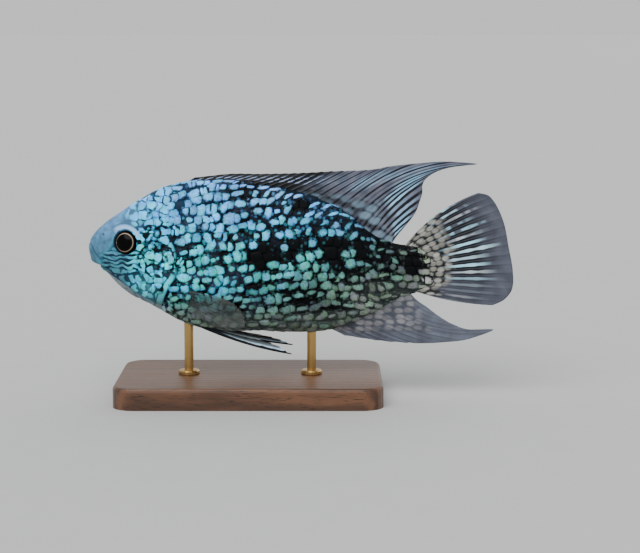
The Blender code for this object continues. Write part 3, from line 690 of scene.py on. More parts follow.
# A pale band before the free edge of the gill cover, with a dark line in front of it, and behind it the dark
# gill opening, painted shade in the groove under the free edge
band = within(tree, (past_gill, -3.8, -3.0), (past_gill, 0.4, -0.2), (z, -12.0, -15.0))
before_band = add(tree, "Math", (past_gill, 4.2), operation="ADD")
before_band = add(tree, "Math", (before_band,), operation="ABSOLUTE")
before_band = within(tree, (before_band, 0.6, 0.3), (z, -12.0, -15.0), most=0.85)
# Painted shade in the gill groove behind the free edge, joined with the dark line before the band
gill_shade_and_dark_line = within(tree, (past_gill, -0.2, 0.4), (past_gill, 2.8, 1.6))
gill_shade_and_dark_line = add(tree, "Math", (gill_shade_and_dark_line, before_band), operation="MAXIMUM")
throat_pale = add(tree, "Math", (throat, 0.9), operation="MULTIPLY")
for pale in (bare, on_brow, throat_pale, band):
    pearl = add(tree, "Math", (pearl, pale), operation="MAXIMUM")
before_scales = within(tree, (x, 52.0, 48.0))
pearl = add(tree, "Math", (pearl, before_scales), operation="MULTIPLY")
# The dark lines and the painted shade of the folds, the mouth line and the gill opening clear the pearls
# away
for dark in (gill_shade_and_dark_line, dark_lines_and_crease_shade):
    clear = add(tree, "Math", (1.0, dark), operation="SUBTRACT", use_clamp=True)
    pearl = add(tree, "Math", (pearl, clear), operation="MULTIPLY")

snout = add(tree, "ValToRGB", {"Fac": within(tree, (z, -14.0, 24.0))}, stops=SNOUT_COLOURS)
mottle = clouded(tree, place, 0.3, 3.0, 0.6, 1.14)
snout = add(tree, "VectorMath", (snout, mottle), operation="MULTIPLY")
before_eye = within(tree, (x, 28.0, 20.0), most=0.85)
snout_share = add(tree, "Math", (bare, before_eye), operation="MAXIMUM")
throat_paint = add(tree, "VectorMath", (linear(THROAT_COLOUR)[:3], mottle), operation="MULTIPLY")
brow = add(tree, "Math", (on_brow, 0.85), operation="MULTIPLY")
pearls = add(tree, "VectorMath", (pearl_colour(tree, x, z, place), cell_tone), operation="MULTIPLY")
pearls = painted(tree, pearls, (snout_share, snout), (throat, throat_paint), (brow, BROW_COLOUR))
dark = blotched(tree, x, z, place)
colour = painted(tree, ground_colour(tree, x, z, place), (pearl, pearls), (dark, GROUND))
hide_finish(tree, colour, pearl)
skin.data.materials.append(skin_paint)

# Scales: thin rounded plates, one row behind the other from the gill covers to the tail, nearly
# all with one pearl. They are cast with the skin, overlap towards the tail, and stand off at
# their rear edge.

SCALE_SIZES = MM * np.array(
    [
        # behind the snout, from scale to scale along a row, from row to row
        (20.0, 4.9, 4.9),
        (45.0, 5.1, 5.2),
        (70.0, 5.4, 5.9),
        (110.0, 5.9, 6.1),
        (150.0, 6.2, 5.9),
        (192.0, 5.8, 5.0),
    ]
)
SCALE_THICKNESS = 0.28 * MM
SCALE_STEPS = 5
# Where the middle row runs, along the lateral line
MIDDLE_ROW = MM * np.array(
    [(20.0, -6.0), (60.0, -5.0), (100.0, -3.0), (140.0, -2.5), (180.0, -7.0), (191.0, -8.0)]
)


def scale_sizes(x):
    """How far scales lie apart along the rows and from row to row, at a place along the fish."""
    return [np.interp(x, SCALE_SIZES[:, 0], SCALE_SIZES[:, item]) for item in (1, 2)]


# One plate in its own measure: its pearl's middle at 0, 1 from plate to plate along and up, and
# millimetres out. It is arched up and down, tilted up to its rear edge, and lies a little ahead
PLATE_HALF = (0.66, 0.62)
PLATE_ROUNDING = 0.34
PLATE_TILT = 0.2
PLATE_ARCH = 0.34
PLATE_AHEAD = 0.12

bm = bmesh.new()
bmesh.ops.create_grid(bm, x_segments=SCALE_STEPS, y_segments=SCALE_STEPS, size=1.0)
for vert in bm.verts:
    p, q = vert.co.x, vert.co.y
    along = PLATE_HALF[0] * p * math.sqrt(1 - PLATE_ROUNDING * q * q)
    up = PLATE_HALF[1] * q * math.sqrt(1 - PLATE_ROUNDING * p * p)
    vert.co = (along - PLATE_AHEAD, up, 0.08 + PLATE_TILT * p - PLATE_ARCH * q * q - 0.06 * p * p)
rim = bmesh.ops.extrude_edge_only(bm, edges=[edge for edge in bm.edges if edge.is_boundary])["geom"]
rim_verts = [item for item in rim if isinstance(item, bmesh.types.BMVert)]
bmesh.ops.translate(bm, verts=rim_verts, vec=(0, 0, -SCALE_THICKNESS / MM))
bmesh.ops.holes_fill(bm, edges=[edge for edge in bm.edges if edge.is_boundary], sides=0)
bmesh.ops.recalc_face_normals(bm, faces=bm.faces[:])
plate = new_object("plate", bm)
plate_points = np.array([vert.co for vert in plate.data.vertices])

# A table of the skin of one side that runs on past the middle of the back and of the belly
TABLE_RINGS = 380
TABLE_TURNS = 200
PAST_MIDDLE = 0.25
UP_STEPS = 320
table_x = BODY[-1, 0] * np.linspace(0.02, 1, TABLE_RINGS) ** RING_CROWDING
table_turn = np.linspace(-math.pi / 2 - PAST_MIDDLE, math.pi / 2 + PAST_MIDDLE, TABLE_TURNS)
table_skin, table_ways, table_body = skin_table(table_x, table_turn, 0.0)
turns = np.arange(TABLE_TURNS)
# How far each place is along the skin from the middle row
reach = np.cumsum(np.linalg.norm(np.diff(table_body, axis=1), axis=-1), axis=1)
reach = np.concatenate([np.zeros((TABLE_RINGS, 1)), reach], axis=1)
middle_z = smooth_curve(MIDDLE_ROW[:, 0], MIDDLE_ROW[:, 1], table_x)
inner = slice(TABLE_TURNS // 8, TABLE_TURNS - TABLE_TURNS // 8)
for ring in range(TABLE_RINGS):
    reach[ring] -= np.interp(middle_z[ring], table_body[ring, inner, 2], reach[ring, inner])
up_range = np.linspace(reach.min(), reach.max(), UP_STEPS)
turn_of = np.array([np.interp(up_range, row_reach, turns) for row_reach in reach])
belly_turn = PAST_MIDDLE / (math.pi + 2 * PAST_MIDDLE) * (TABLE_TURNS - 1)
belly_reach, back_reach = (
    np.array([np.interp(turn, turns, row_reach) for row_reach in reach])
    for turn in (belly_turn, TABLE_TURNS - 1 - belly_turn)
)


def between(table, row, column):
    """Values of a table at places between its rows and columns."""
    row = np.clip(row, 0, table.shape[0] - 1.001)
    column = np.clip(column, 0, table.shape[1] - 1.001)
    low_row, low_column = row.astype(int), column.astype(int)
    a, b = row - low_row, column - low_column
    if table.ndim > 2:
        a, b = a[..., None], b[..., None]
    first = table[low_row, low_column] * (1 - b) + table[low_row, low_column + 1] * b
    second = table[low_row + 1, low_column] * (1 - b) + table[low_row + 1, low_column + 1] * b
    return first * (1 - a) + second * a


def on_side(x, up, height):
    """Places over the skin of the right side, up being the way along it from the middle row."""
    ring = np.interp(x, table_x, np.arange(TABLE_RINGS))
    turn = between(turn_of, ring, np.interp(up, up_range, np.arange(UP_STEPS)))
    way = between(table_ways, ring, turn)
    way /= np.linalg.norm(way, axis=-1, keepdims=True)
    places = between(table_skin, ring, turn) + way * height[..., None]
    # Past the end of the body they run on over the root of the tail fin
    past = np.maximum(x - table_x[-1], 0)
    over = ease(past / (5 * MM))
    places[..., 0] += past
    places[..., 1] += over * (1.5 * MM + 0.6 * height - places[..., 1])
    return places


# Where along the fish each column of scales lies, and which of them the side has room for
COLUMNS = 40
ROWS = 30
FIRST_COLUMN = 22 * MM
LAST_COLUMN = 193.0 * MM
GILL_OVERLAP = 0.15
column_x = [FIRST_COLUMN]
while len(column_x) < 2 * COLUMNS:
    column_x.append(column_x[-1] + scale_sizes(column_x[-1])[0] / 2)
HEAD_LIMIT = MM * np.array(
    [
        # height above the snout, first scale behind the snout
        (-48.0, 44.0),
        (-30.0, 42.0),
        (-24.0, 32.0),
        (-14.0, 31.0),
        (-4.0, 31.5),
        (4.0, 31.0),
        (12.0, 30.0),
        (20.0, 31.0),
        (28.0, 35.0),
        (40.0, 40.0),
    ]
)
seeds = []
for half_column, column_place in enumerate(column_x):
    if column_place > LAST_COLUMN:
        break
    length, height = scale_sizes(column_place)
    low, high = np.interp(column_place, table_x, belly_reach), np.interp(column_place, table_x, back_reach)
    # Every second row, so that each scale lies behind the gap of two others
    for row in range(-ROWS + half_column % 2, ROWS + 1, 2):
        x = column_place
        up = row * height
        if not low + 0.15 * height < up < high - 0.1 * height:
            continue
        spot = on_side(np.array([x]), np.array([up]), np.array([0.0]))[0]
        if x < np.interp(spot[2], HEAD_LIMIT[:, 0], HEAD_LIMIT[:, 1]):
            continue
        # None lies over the edge of the gill cover, and the first ones behind it move back
        if GILL_BASE_HEIGHT < spot[2] < GILL_EDGE[0, 1]:
            past = x - edge_at(GILL_EDGE, spot[2])
            margin, room = (1.3, 0.95) if spot[2] < -15 * MM else (0.62, 0.62)
            if -margin * length < past < -GILL_OVERLAP * length:
                continue
            if -GILL_OVERLAP * length <= past < room * length:
                x += room * length - past
        seeds.append((x, up, half_column, row, spot[2]))
seeds = np.array(seeds)
count = len(seeds)


# Half a pearl's length and height, as shares of the way from scale to scale and from row to row
PEARL_HALF = (0.47, 0.38)


def pearl_shapes(random, x, z, points, length, height):
    """Where each point of each scale lies in its pearl, 1 being the edge, and two chances.

    The first chance is -1 where the scale has no pearl. x and z are the scales' places in
    millimetres, and the regions below say where on the side their pearls are of another form.
    """
    near_back = smooth_curve(np.sqrt(BODY[:, 0]), BODY[:, 1], np.sqrt(x * MM)) / MM - z
    upper = ease((x - 60) / 60) * ease((z - 2) / 18)
    lower = ease((x - 52) / 30) * ease((-6 - z) / 12)
    sparse = ease((x - 85) / 25) * ease((z + 5) / 8)
    middle = ease((x - 58) / 20) * ease((22 - z) / 10)
    drawn_out = upper * ease((x - 100) / 12)
    streaky = ease((14 - near_back) / 8) * ease((x - 62) / 25)
    shoulder = ease((z - 8) / 10) * ease((112 - x) / 16) * (1 - streaky)
    # Level bars behind the lower gill opening
    bars = ease((x - 45) / 2) * ease((58 - x) / 3) * ease((-20 - z) / 3) * ease((z + 36) / 3)
    long, tall = PEARL_HALF
    for share, longer, taller in (
        (lower, 0.09, -0.02),
        (sparse, -0.04, -0.04),
        (middle * (1 - lower), -0.02, 0.0),
        (middle, 0.0, -0.03),
        (drawn_out, 0.05, -0.05),
        (streaky, 0.14, -0.12),
        (shoulder, 0.03, 0.12),
        (bars, 0.12, -0.08),
    ):
        long, tall = long + longer * share, tall + taller * share
    slant = 0.04 + 0.5 * upper + 0.1 * lower + random.normal(0.0, 1.0, x.shape) * (0.34 + 0.14 * upper)
    stretched = random.random(x.shape)
    drawn = np.where(stretched < 0.24, 1.4, np.where(stretched > 0.8, 0.74, 1.0))
    long = long * drawn * (1 + random.normal(0.0, 0.15, x.shape))
    tall = tall / drawn**0.5 * (1 + random.normal(0.0, 0.16, x.shape))
    size = np.where(random.random(x.shape) < 0.14, 0.66, 1.0)
    # Pearls grow and shrink together in loose groups
    crowd = np.sin(0.23 * x + 0.11 * z + 0.9) * np.sin(0.29 * z - 0.07 * x + 2.0)
    crowd += 0.6 * np.sin(0.41 * x - 0.33 * z)
    long = np.clip(long * (1 + 0.14 * crowd), 0.25, 0.66)
    tall = np.clip(tall * (1 + 0.15 * crowd), 0.17, 0.56)
    rare = 0.012 + 0.13 * sparse * ease((x - 98) / 14) + 0.08 * streaky * ease((118 - x) / 12)
    gone = random.random(x.shape) < rare
    for middle_x, middle_z, half_x, half_z in BLOTCHES:
        off = np.hypot((x - middle_x) / half_x, (z - middle_z) / half_z)
        gone |= off < random.uniform(0.75, 1.15, x.shape)
    off_along = (points[..., 0] - random.uniform(-0.07, 0.07, x.shape)) * length
    off_up = (points[..., 1] - random.uniform(-0.07, 0.07, x.shape)) * height
    along = (off_along * np.cos(slant) + off_up * np.sin(slant)) / (long * size * length)
    up = (off_up * np.cos(slant) - off_along * np.sin(slant)) / (tall * size * height)
    chance = random.random((len(x), 1, 2))
    chance[..., 0] = np.where(gone, -1.0, chance[..., 0])
    chance[..., 1] = np.where(x > 176, 0.5, chance[..., 1])
    return np.stack([along, up], axis=-1), np.broadcast_to(chance, (*along.shape, 2))


def coat(name, side, chance_seed):
    """The scales of one side as one joined mesh."""
    piece = bpy.data.objects.new(name, plate.data.copy())
    bpy.context.scene.collection.objects.link(piece)
    copies = piece.modifiers.new("rows of scales", "ARRAY")
    copies.count = count
    copies.use_relative_offset = False
    graph = bpy.context.evaluated_depsgraph_get()
    mesh = bpy.data.meshes.new_from_object(piece.evaluated_get(graph))
    piece.modifiers.clear()
    piece.data = mesh
    random = np.random.default_rng(chance_seed)
    x, up, half_column, row, seed_height = (seeds[:, item, None] for item in range(5))
    length, height = scale_sizes(x)
    points = plate_points[None]
    turn = random.normal(0.0, 0.10, (count, 1))
    along = points[..., 0] * (1.0 + random.normal(0.0, 0.05, (count, 1)))
    upward = points[..., 1] * (1.0 + random.normal(0.0, 0.07, (count, 1)))
    shift_along = random.uniform(-0.10, 0.10, (count, 1)) + 0.2 * np.sin(0.9 * half_column + 1.7 * row)
    shift_up = random.uniform(-0.09, 0.09, (count, 1)) + 0.2 * np.sin(0.31 * half_column + 1.1 * row)
    shift_up += 0.11 * np.sin(0.83 * half_column - 2.1 * row)
    place_x = x + (along * np.cos(turn) - upward * np.sin(turn) + shift_along) * length
    place_up = up + (along * np.sin(turn) + upward * np.cos(turn) + shift_up) * height
    # Short plates, and those near the head, stand off less
    lift = points[..., 2] * MM * (0.4 + 0.6 * length / SCALE_SIZES[2, 1])
    lift = lift * (0.6 + 0.4 * ease((x / MM - 42) / 8)) - 0.05 * MM
    places = on_side(place_x, place_up, lift)
    places[..., 1] *= side
    pearl, chance = pearl_shapes(random, x / MM, seed_height / MM, points, length, height)
    # The unwrap: each scale has its own place, by its column and row, as it lies on the side
    bake_u = (half_column + 1 + 0.7 * (points[..., 0] + PLATE_AHEAD)) / (half_column.max() + 2)
    bake_v = (row - row.min() + 1 + 0.7 * points[..., 1]) / (row.max() - row.min() + 2)
    maps = {"OFBake": np.stack([bake_u, bake_v], axis=-1), "Pearl": pearl, "Chance": chance}
    put_skin(piece, places.reshape(-1, 3), {layer: values.reshape(-1, 2) for layer, values in maps.items()})
    bm = bmesh.new()
    bm.from_mesh(piece.data)
    if bm.calc_volume(signed=True) < 0:
        bmesh.ops.reverse_faces(bm, faces=bm.faces[:])
    bm.to_mesh(piece.data)
    bm.free()
    piece.data.shade_smooth()
    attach(piece, "root")
    return piece


# Painted scale: a pearl with a soft irregular outline in the middle of each plate, near black
# round it, the same colours and blotches as the skin
PEARL_POWER = 2.25
TWIN_OFF, TWIN_REACH = 0.6, 1.8
BITS_A_MM = 0.42
ODD_PEARL_LOW = "#6FBFA4"
ODD_PEARL_HIGH = "#8C9CE0"

scale_paint, tree = new_material("Painted cichlid scale")
x, z, place = side_places(tree)
pearl_along, pearl_up = map_values(tree, "Pearl")
first_chance, second_chance = map_values(tree, "Chance")
# Some scales carry two small pearls side by side
twin = within(tree, (second_chance, 0.061, 0.059))
uneven = add(tree, "MapRange", {"Value": first_chance, "To Min": -0.45, "To Max": 0.45})
half = add(tree, "Math", (pearl_along, uneven), operation="ADD")
half = add(tree, "Math", (half,), operation="ABSOLUTE")
half = add(tree, "Math", (half, TWIN_OFF), operation="SUBTRACT")
half = add(tree, "Math", (half, TWIN_REACH), operation="MULTIPLY")
along = add(tree, "Mix", {"Factor": twin, "A": pearl_along, "B": half}, data_type="FLOAT")
# A pearl is between a circle and a square: the sum of both powers is 1 at its edge
powers = []
for part in (along, pearl_up):
    part = add(tree, "Math", (part,), operation="ABSOLUTE")
    powers.append(add(tree, "Math", (part, PEARL_POWER), operation="POWER"))
edge = add(tree, "Math", powers, operation="ADD")
edge = add(tree, "Math", (edge, 1 / PEARL_POWER), operation="POWER")
for rough in (clouded(tree, place, 0.3, 1.0, -0.24, 0.24), clouded(tree, place, 0.75, 1.0, -0.11, 0.11)):
    edge = add(tree, "Math", (edge, rough), operation="ADD")
pearl = within(tree, (edge, 1.24, 0.72), smooth=True)
there = within(tree, (first_chance, -0.6, -0.4))
pearl = add(tree, "Math", (pearl, there), operation="MULTIPLY")
# Each pearl has its own tone, some are of an odd colour, and all are clouded and paler inside, a painted
# highlight
tone = add(tree, "MapRange", {"Value": first_chance, "To Min": 0.7, "To Max": 1.2})
pearls = add(tree, "VectorMath", (pearl_colour(tree, x, z, place), tone), operation="MULTIPLY")
odd = within(tree, (second_chance, 0.6, 1.0), most=0.34)
odd_pearl = painted(tree, ODD_PEARL_LOW, (within(tree, (z, -8.0, 12.0)), ODD_PEARL_HIGH))
pearls = painted(tree, pearls, (odd, odd_pearl))
# A painted highlight brightens each pearl towards its middle
painted_highlight = {"Value": edge, "From Min": 0.9, "From Max": 0.2, "To Min": 0.9, "To Max": 1.08}
for tone in (add(tree, "MapRange", painted_highlight), clouded(tree, place, 0.8, 2.0, 0.74, 1.22, 0.34, 0.66)):
    pearls = add(tree, "VectorMath", (pearls, tone), operation="MULTIPLY")
# Before the edge of the gill cover the cells of the cheek run on over the scales
in_cell, cell_tone = head_cells(tree, z, place)
cheek = within(tree, (x, 47.5, 46.0))
cell_paint = add(tree, "VectorMath", (pearl_colour(tree, x, z, place), cell_tone), operation="MULTIPLY")
pearls = painted(tree, pearls, (cheek, cell_paint))
pearl = add(tree, "Mix", {"Factor": cheek, "A": pearl, "B": in_cell}, data_type="FLOAT")
# Between the pearls lie dim small bits of the same colours
flat = add(tree, "CombineXYZ", (x, z))
bits = {"Vector": flat, "Scale": BITS_A_MM, "Randomness": 1.0}
bits = add(tree, "TexVoronoi", bits, voronoi_dimensions="2D")
bit_chance = add(tree, "SeparateColor", {"Color": bits.outputs["Color"]})
bit = within(tree, (bit_chance, 0.35, 0.9), (bits.outputs["Distance"], 0.5, 0.3), most=0.4)
dark = blotched(tree, x, z, place)
colour = painted(tree, ground_colour(tree, x, z, place), (bit, pearls), (dark, GROUND), (pearl, pearls))
hide_finish(tree, colour, pearl)

for name, side, chance_seed in (("scales_left", -1, 11), ("scales_right", 1, 12)):
    piece = coat(name, side, chance_seed)
    piece.data.materials.append(scale_paint)
bpy.data.objects.remove(plate)

# Fins: thin webs over bony rays, cast in tinted resin from an open mould. Stout spines carry
# the front of the back and anal fins, and branched soft rays the rest.

DORSAL = MM * np.array(
    [
        # root behind snout, tip behind snout, tip height, bow of the ray
        (51.3, 60.4, 39.4, 0.0),
        (62.7, 78.6, 41.3, 0.0),
        (79.7, 97.9, 41.3, 0.0),
        (96.7, 117.7, 41.9, 0.0),
        (113.8, 137.6, 43.1, 0.0),
        (131.3, 162.6, 44.3, 1.0),
        (140.0, 177.9, 46.7, 2.2),
        (144.5, 200.0, 48.4, 5.6),
        (148.9, 219.1, 47.0, 9.0),
        (153.4, 202.5, 45.0, 5.4),
        (157.8, 190.4, 38.6, 2.6),
        (162.2, 188.2, 29.2, 1.6),
        (166.7, 184.3, 18.8, 1.0),
        (171.1, 175.6, 8.0, 0.4),
    ]
)
ANAL = MM * np.array(
    [
        # root behind snout, tip behind snout, tip height, bow of the ray
        (134.8, 145.0, -50.9, 0.0),
        (145.0, 171.6, -54.7, 0.4),
        (156.3, 201.7, -54.6, 1.6),
        (161.5, 216.9, -52.3, 4.0),
        (164.8, 229.5, -47.3, 6.4),
        (168.1, 215.5, -47.2, 4.2),
        (171.5, 207.4, -44.7, 2.6),
        (176.5, 200.0, -40.9, 1.6),
        (181.5, 190.8, -34.2, 0.6),
    ]
)
CAUDAL_HUB = Vector((180.0, -12.6)) * MM
CAUDAL_HUB_REACH = Vector((8.0, 13.0)) * MM
CAUDAL_TOP_TURN = math.radians(100)
CAUDAL_BASE_TURN = math.radians(-68)
CAUDAL_EDGE = MM * np.array(
    [
        # behind snout, height
        (223.8, 31.8),
        (230.2, 24.0),
        (235.0, 13.0),
        (237.6, 0.0),
        (240.0, -13.4),
        (239.4, -24.5),
        (232.3, -33.2),
    ]
)
CAUDAL_TOP_BULGE, CAUDAL_TOP_SHARE = 9.0 * MM, 0.4
CAUDAL_BASE_BULGE, CAUDAL_BASE_SHARE = 4.2 * MM, 0.3
BULGE_POWER = 1.5
CAUDAL_WAVE = 2.0 * MM
PECTORAL_ROOT = MM * np.array([(56.0, -22.4), (55.6, -27.4), (54.6, -32.4)])
PECTORAL_EDGE = MM * np.array(
    [(72.2, -25.0), (82.2, -29.0), (88.0, -35.6), (89.4, -41.6), (85.2, -45.0), (75.2, -44.0), (65.2, -39.2)]
)
PECTORAL_SPREAD = 20.5 * MM
PECTORAL_BOW = 2.6 * MM
PELVIC_ROOT = MM * np.array([(64.4, 6.6, -44.6), (69.5, 4.0, -46.0)])
PELVIC_EDGE = MM * np.array(
    [
        # behind snout, to the side, height
        (114.9, 15.0, -58.8),
        (110.5, 12.6, -56.6),
        (106.0, 10.6, -54.6),
        (98.0, 8.0, -52.2),
        (88.5, 6.0, -50.5),
    ]
)
PELVIC_BOW = 4.0 * MM
MEDIAN_ROOT_HALF = 1.1 * MM
PAIRED_ROOT_HALF = 0.75 * MM
EDGE_HALF = 0.25 * MM
RAY_RISE = 0.27 * MM
TAPER_POWER = 1.6
SUNK = 2.0 * MM
MEDIAN_WAVE = 1.2 * MM
FORK_START, FORK_LENGTH = 0.4, 0.25
# A ray's half width, and how far off its line a branch lies and its half width, are shares of
# the way to the next ray
RAY_HALF, RAY_POWER = 0.2, 0.7
BRANCH_OFF, BRANCH_HALF = 0.24, 0.13
SPINE_RISE = 1.2
JOINT_DIP = 0.12
CORNER_SHARE = 0.08
STEPS_A_RAY = 8


def bowed(start, end, bow, along):
    """A point of a ray that bends away from straight by the vector bow at its middle."""
    return start.lerp(end, along) + bow * (4 * along * (1 - along))


def median_place(table, sink):
    """Places of a fin on the middle line of the back or belly, from shares along and across its rays.

    sink is how far its root lies above the outline, below 0 on the back.
    """
    spread = (table[:, 0] - table[0, 0]) / (table[-1, 0] - table[0, 0])
    line = 1 if sink < 0 else 2

    def place(along, across):
        root_x, tip_x, tip_z, bend = smooth_curve(spread, table, across)
        root_z = smooth_curve(np.sqrt(BODY[:, 0]), BODY[:, line], math.sqrt(root_x)) + sink
        root = Vector((root_x, 0, root_z))
        tip = Vector((tip_x, 0, tip_z))
        straight = (tip - root).normalized()
        bow = Vector((straight.z, 0, -straight.x)) * math.copysign(bend, sink)
        point = bowed(root, tip, bow, along)
        point.y = MEDIAN_WAVE * along**2 * math.sin(2.5 * math.pi * across)
        return point

    return place


def caudal_place(along, across):
    """A place of the tail fin, whose rays fan out from an oval round the end of the stalk."""
    turn = CAUDAL_TOP_TURN + across * (CAUDAL_BASE_TURN - CAUDAL_TOP_TURN)
    root = Vector((CAUDAL_HUB_REACH.x * math.cos(turn), 0, CAUDAL_HUB_REACH.y * math.sin(turn)))
    root += Vector((CAUDAL_HUB.x, 0, CAUDAL_HUB.y))
    edge_x, edge_z = smooth_curve(np.linspace(0, 1, len(CAUDAL_EDGE)), CAUDAL_EDGE, across)
    tip = Vector((edge_x, 0, edge_z))
    straight = (tip - root).normalized()
    top = CAUDAL_TOP_BULGE * max(0.0, 1 - across / CAUDAL_TOP_SHARE) ** BULGE_POWER
    low = CAUDAL_BASE_BULGE * max(0.0, 1 - (1 - across) / CAUDAL_BASE_SHARE) ** BULGE_POWER
    point = bowed(root, tip, Vector((-straight.z, 0, straight.x)) * (top - low) / 2, along)
    point.y = CAUDAL_WAVE * along**2 * math.sin(1.6 * math.pi * across + 0.4)
    return point


def side_width(x, z):
    """Half width of the body at a height."""
    back, belly, half_width = smooth_curve(np.sqrt(BODY[:, 0]), BODY[:, 1:], math.sqrt(x))
    level = belly + WIDEST_SHARE * (back - belly)
    power = BACK_POWER if z > level else BELLY_POWER
    reach = (z - level) / (back - level) if z > level else (level - z) / (level - belly)
    return half_width * (1 - min(reach, 1.0) ** power) ** (1 / power)


def pectoral_place(along, across):
    """A place of the right pectoral fin, which stands off the side behind the gill cover."""
    root_x, root_z = smooth_curve(np.linspace(0, 1, len(PECTORAL_ROOT)), PECTORAL_ROOT, across)
    root = Vector((root_x, side_width(root_x, root_z) - SUNK, root_z))
    edge_x, edge_z = smooth_curve(np.linspace(0, 1, len(PECTORAL_EDGE)), PECTORAL_EDGE, across)
    tip = Vector((edge_x, PECTORAL_SPREAD - 3 * MM * across, edge_z))
    return bowed(root, tip, Vector((0, PECTORAL_BOW, 0)), along)


def pelvic_place(along, across):
    """A place of the right pelvic fin, which trails under the belly."""
    root = Vector(PELVIC_ROOT[0]).lerp(Vector(PELVIC_ROOT[1]), across)
    tip = Vector(smooth_curve(np.linspace(0, 1, len(PELVIC_EDGE)), PELVIC_EDGE, across))
    return bowed(root, tip, Vector((0, 0, -PELVIC_BOW / 2 * (1 - across))), along)


def ray_height(ray_share, along, forked):
    """1 on a ray's line and 0 between rays. A branched ray parts in two from its fork on."""
    fork = ease((along - FORK_START) / FORK_LENGTH) if forked else 0.0
    off = abs((ray_share + 0.5) % 1.0 - 0.5)
    off = abs(off - BRANCH_OFF * fork)
    return max(0.0, 1 - off / (RAY_HALF - (RAY_HALF - BRANCH_HALF) * fork)) ** RAY_POWER


def fin(name, place, rays, spines, rows, root_half, notch, forked, material, side=1, offset=0, corners=0.0):
    """A fin as one closed sheet with its rays raised on both faces.

    place gives a point from shares along and across the rays, spines is how many rays in front
    are stiff, and rows how many steps a ray has. root_half is half the thickness at the root,
    and notch draws the edge in between spines and between soft rays, as shares of a ray.
    forked rays branch, corners is how much of a ray the outer corners lose, side is -1 for the
    left, and offset is the number of the first ray in the Ray map.
    """
    columns = STEPS_A_RAY * (rays - 1)
    bm = bmesh.new()
    bmesh.ops.create_grid(bm, x_segments=columns, y_segments=rows, size=0.5)
    half = bm.verts.layers.float.new("half thickness")
    way = bm.verts.layers.float_vector.new("way out")
    for vert in bm.verts:
        column = round((vert.co.x + 0.5) * columns)
        share = min(max(vert.co.y + 0.5, 0.0), 1.0)
        across = column / columns
        ray = column / STEPS_A_RAY
        spiny = ray < spines - 0.5
        between_rays = abs((ray + 0.5) % 1.0 - 0.5) * 2
        drawn = (notch[0] if spiny else notch[1] * (1 + 0.5 * math.sin(7.3 * ray))) * between_rays
        corner = max(0.0, 1 - min(across, 1 - across) / CORNER_SHARE) ** 2
        along = share * (1 - drawn - corners * corner)
        crest = ray_height(ray, along, forked and not spiny) * (SPINE_RISE if spiny else 1.0)
        joint = 0.0 if spiny else 0.5 + 0.5 * math.cos(math.pi * share * rows)
        rise = RAY_RISE * crest * (1 - 0.5 * along) * (1 - JOINT_DIP * joint)
        vert[half] = EDGE_HALF + (root_half - EDGE_HALF) * (1 - along) ** TAPER_POWER + rise
        vert.co = place(along, across)
    unwrap, ray_map = (bm.loops.layers.uv.new(layer) for layer in ("OFBake", "Ray"))
    bm.verts.index_update()
    for face in bm.faces:
        for loop in face.loops:
            row, column = divmod(loop.vert.index, columns + 1)
            across, share = column / columns, row / rows
            loop[ray_map].uv = (offset + column / STEPS_A_RAY, share)
            # Each face of the fin has half of the unwrap's height
            unwrap_u = UV_MARGIN + (1 - 2 * UV_MARGIN) * across
            unwrap_v = UV_MARGIN + (0.5 - 2 * UV_MARGIN) * share
            loop[unwrap].uv = (unwrap_u, unwrap_v)
    bm.normal_update()
    for vert in bm.verts:
        vert[way] = vert.normal
    made = bmesh.ops.extrude_face_region(bm, geom=bm.faces[:], use_keep_orig=True)["geom"]
    far_side = {item for item in made if isinstance(item, bmesh.types.BMVert)}
    for face in made:
        if isinstance(face, bmesh.types.BMFace):
            for loop in face.loops:
                loop[unwrap].uv.y += 0.5
    for vert in bm.verts:
        move = vert[way] * vert[half]
        vert.co += move if vert in far_side else -move
        vert.co.y *= side
    face_out(bm)
    bmesh.ops.translate(bm, verts=bm.verts[:], vec=SNOUT)
    made = new_object(name, bm)
    made.data.shade_smooth()
    made.data.materials.append(material)
    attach(made, "root")
    return made


RESIN_GLOSS = {"Roughness": 0.42, "IOR": 1.45, "Specular IOR Level": 0.3}
SPINE_BLACK = "#05070C"
SPINE_STREAK = "#98ACD2"


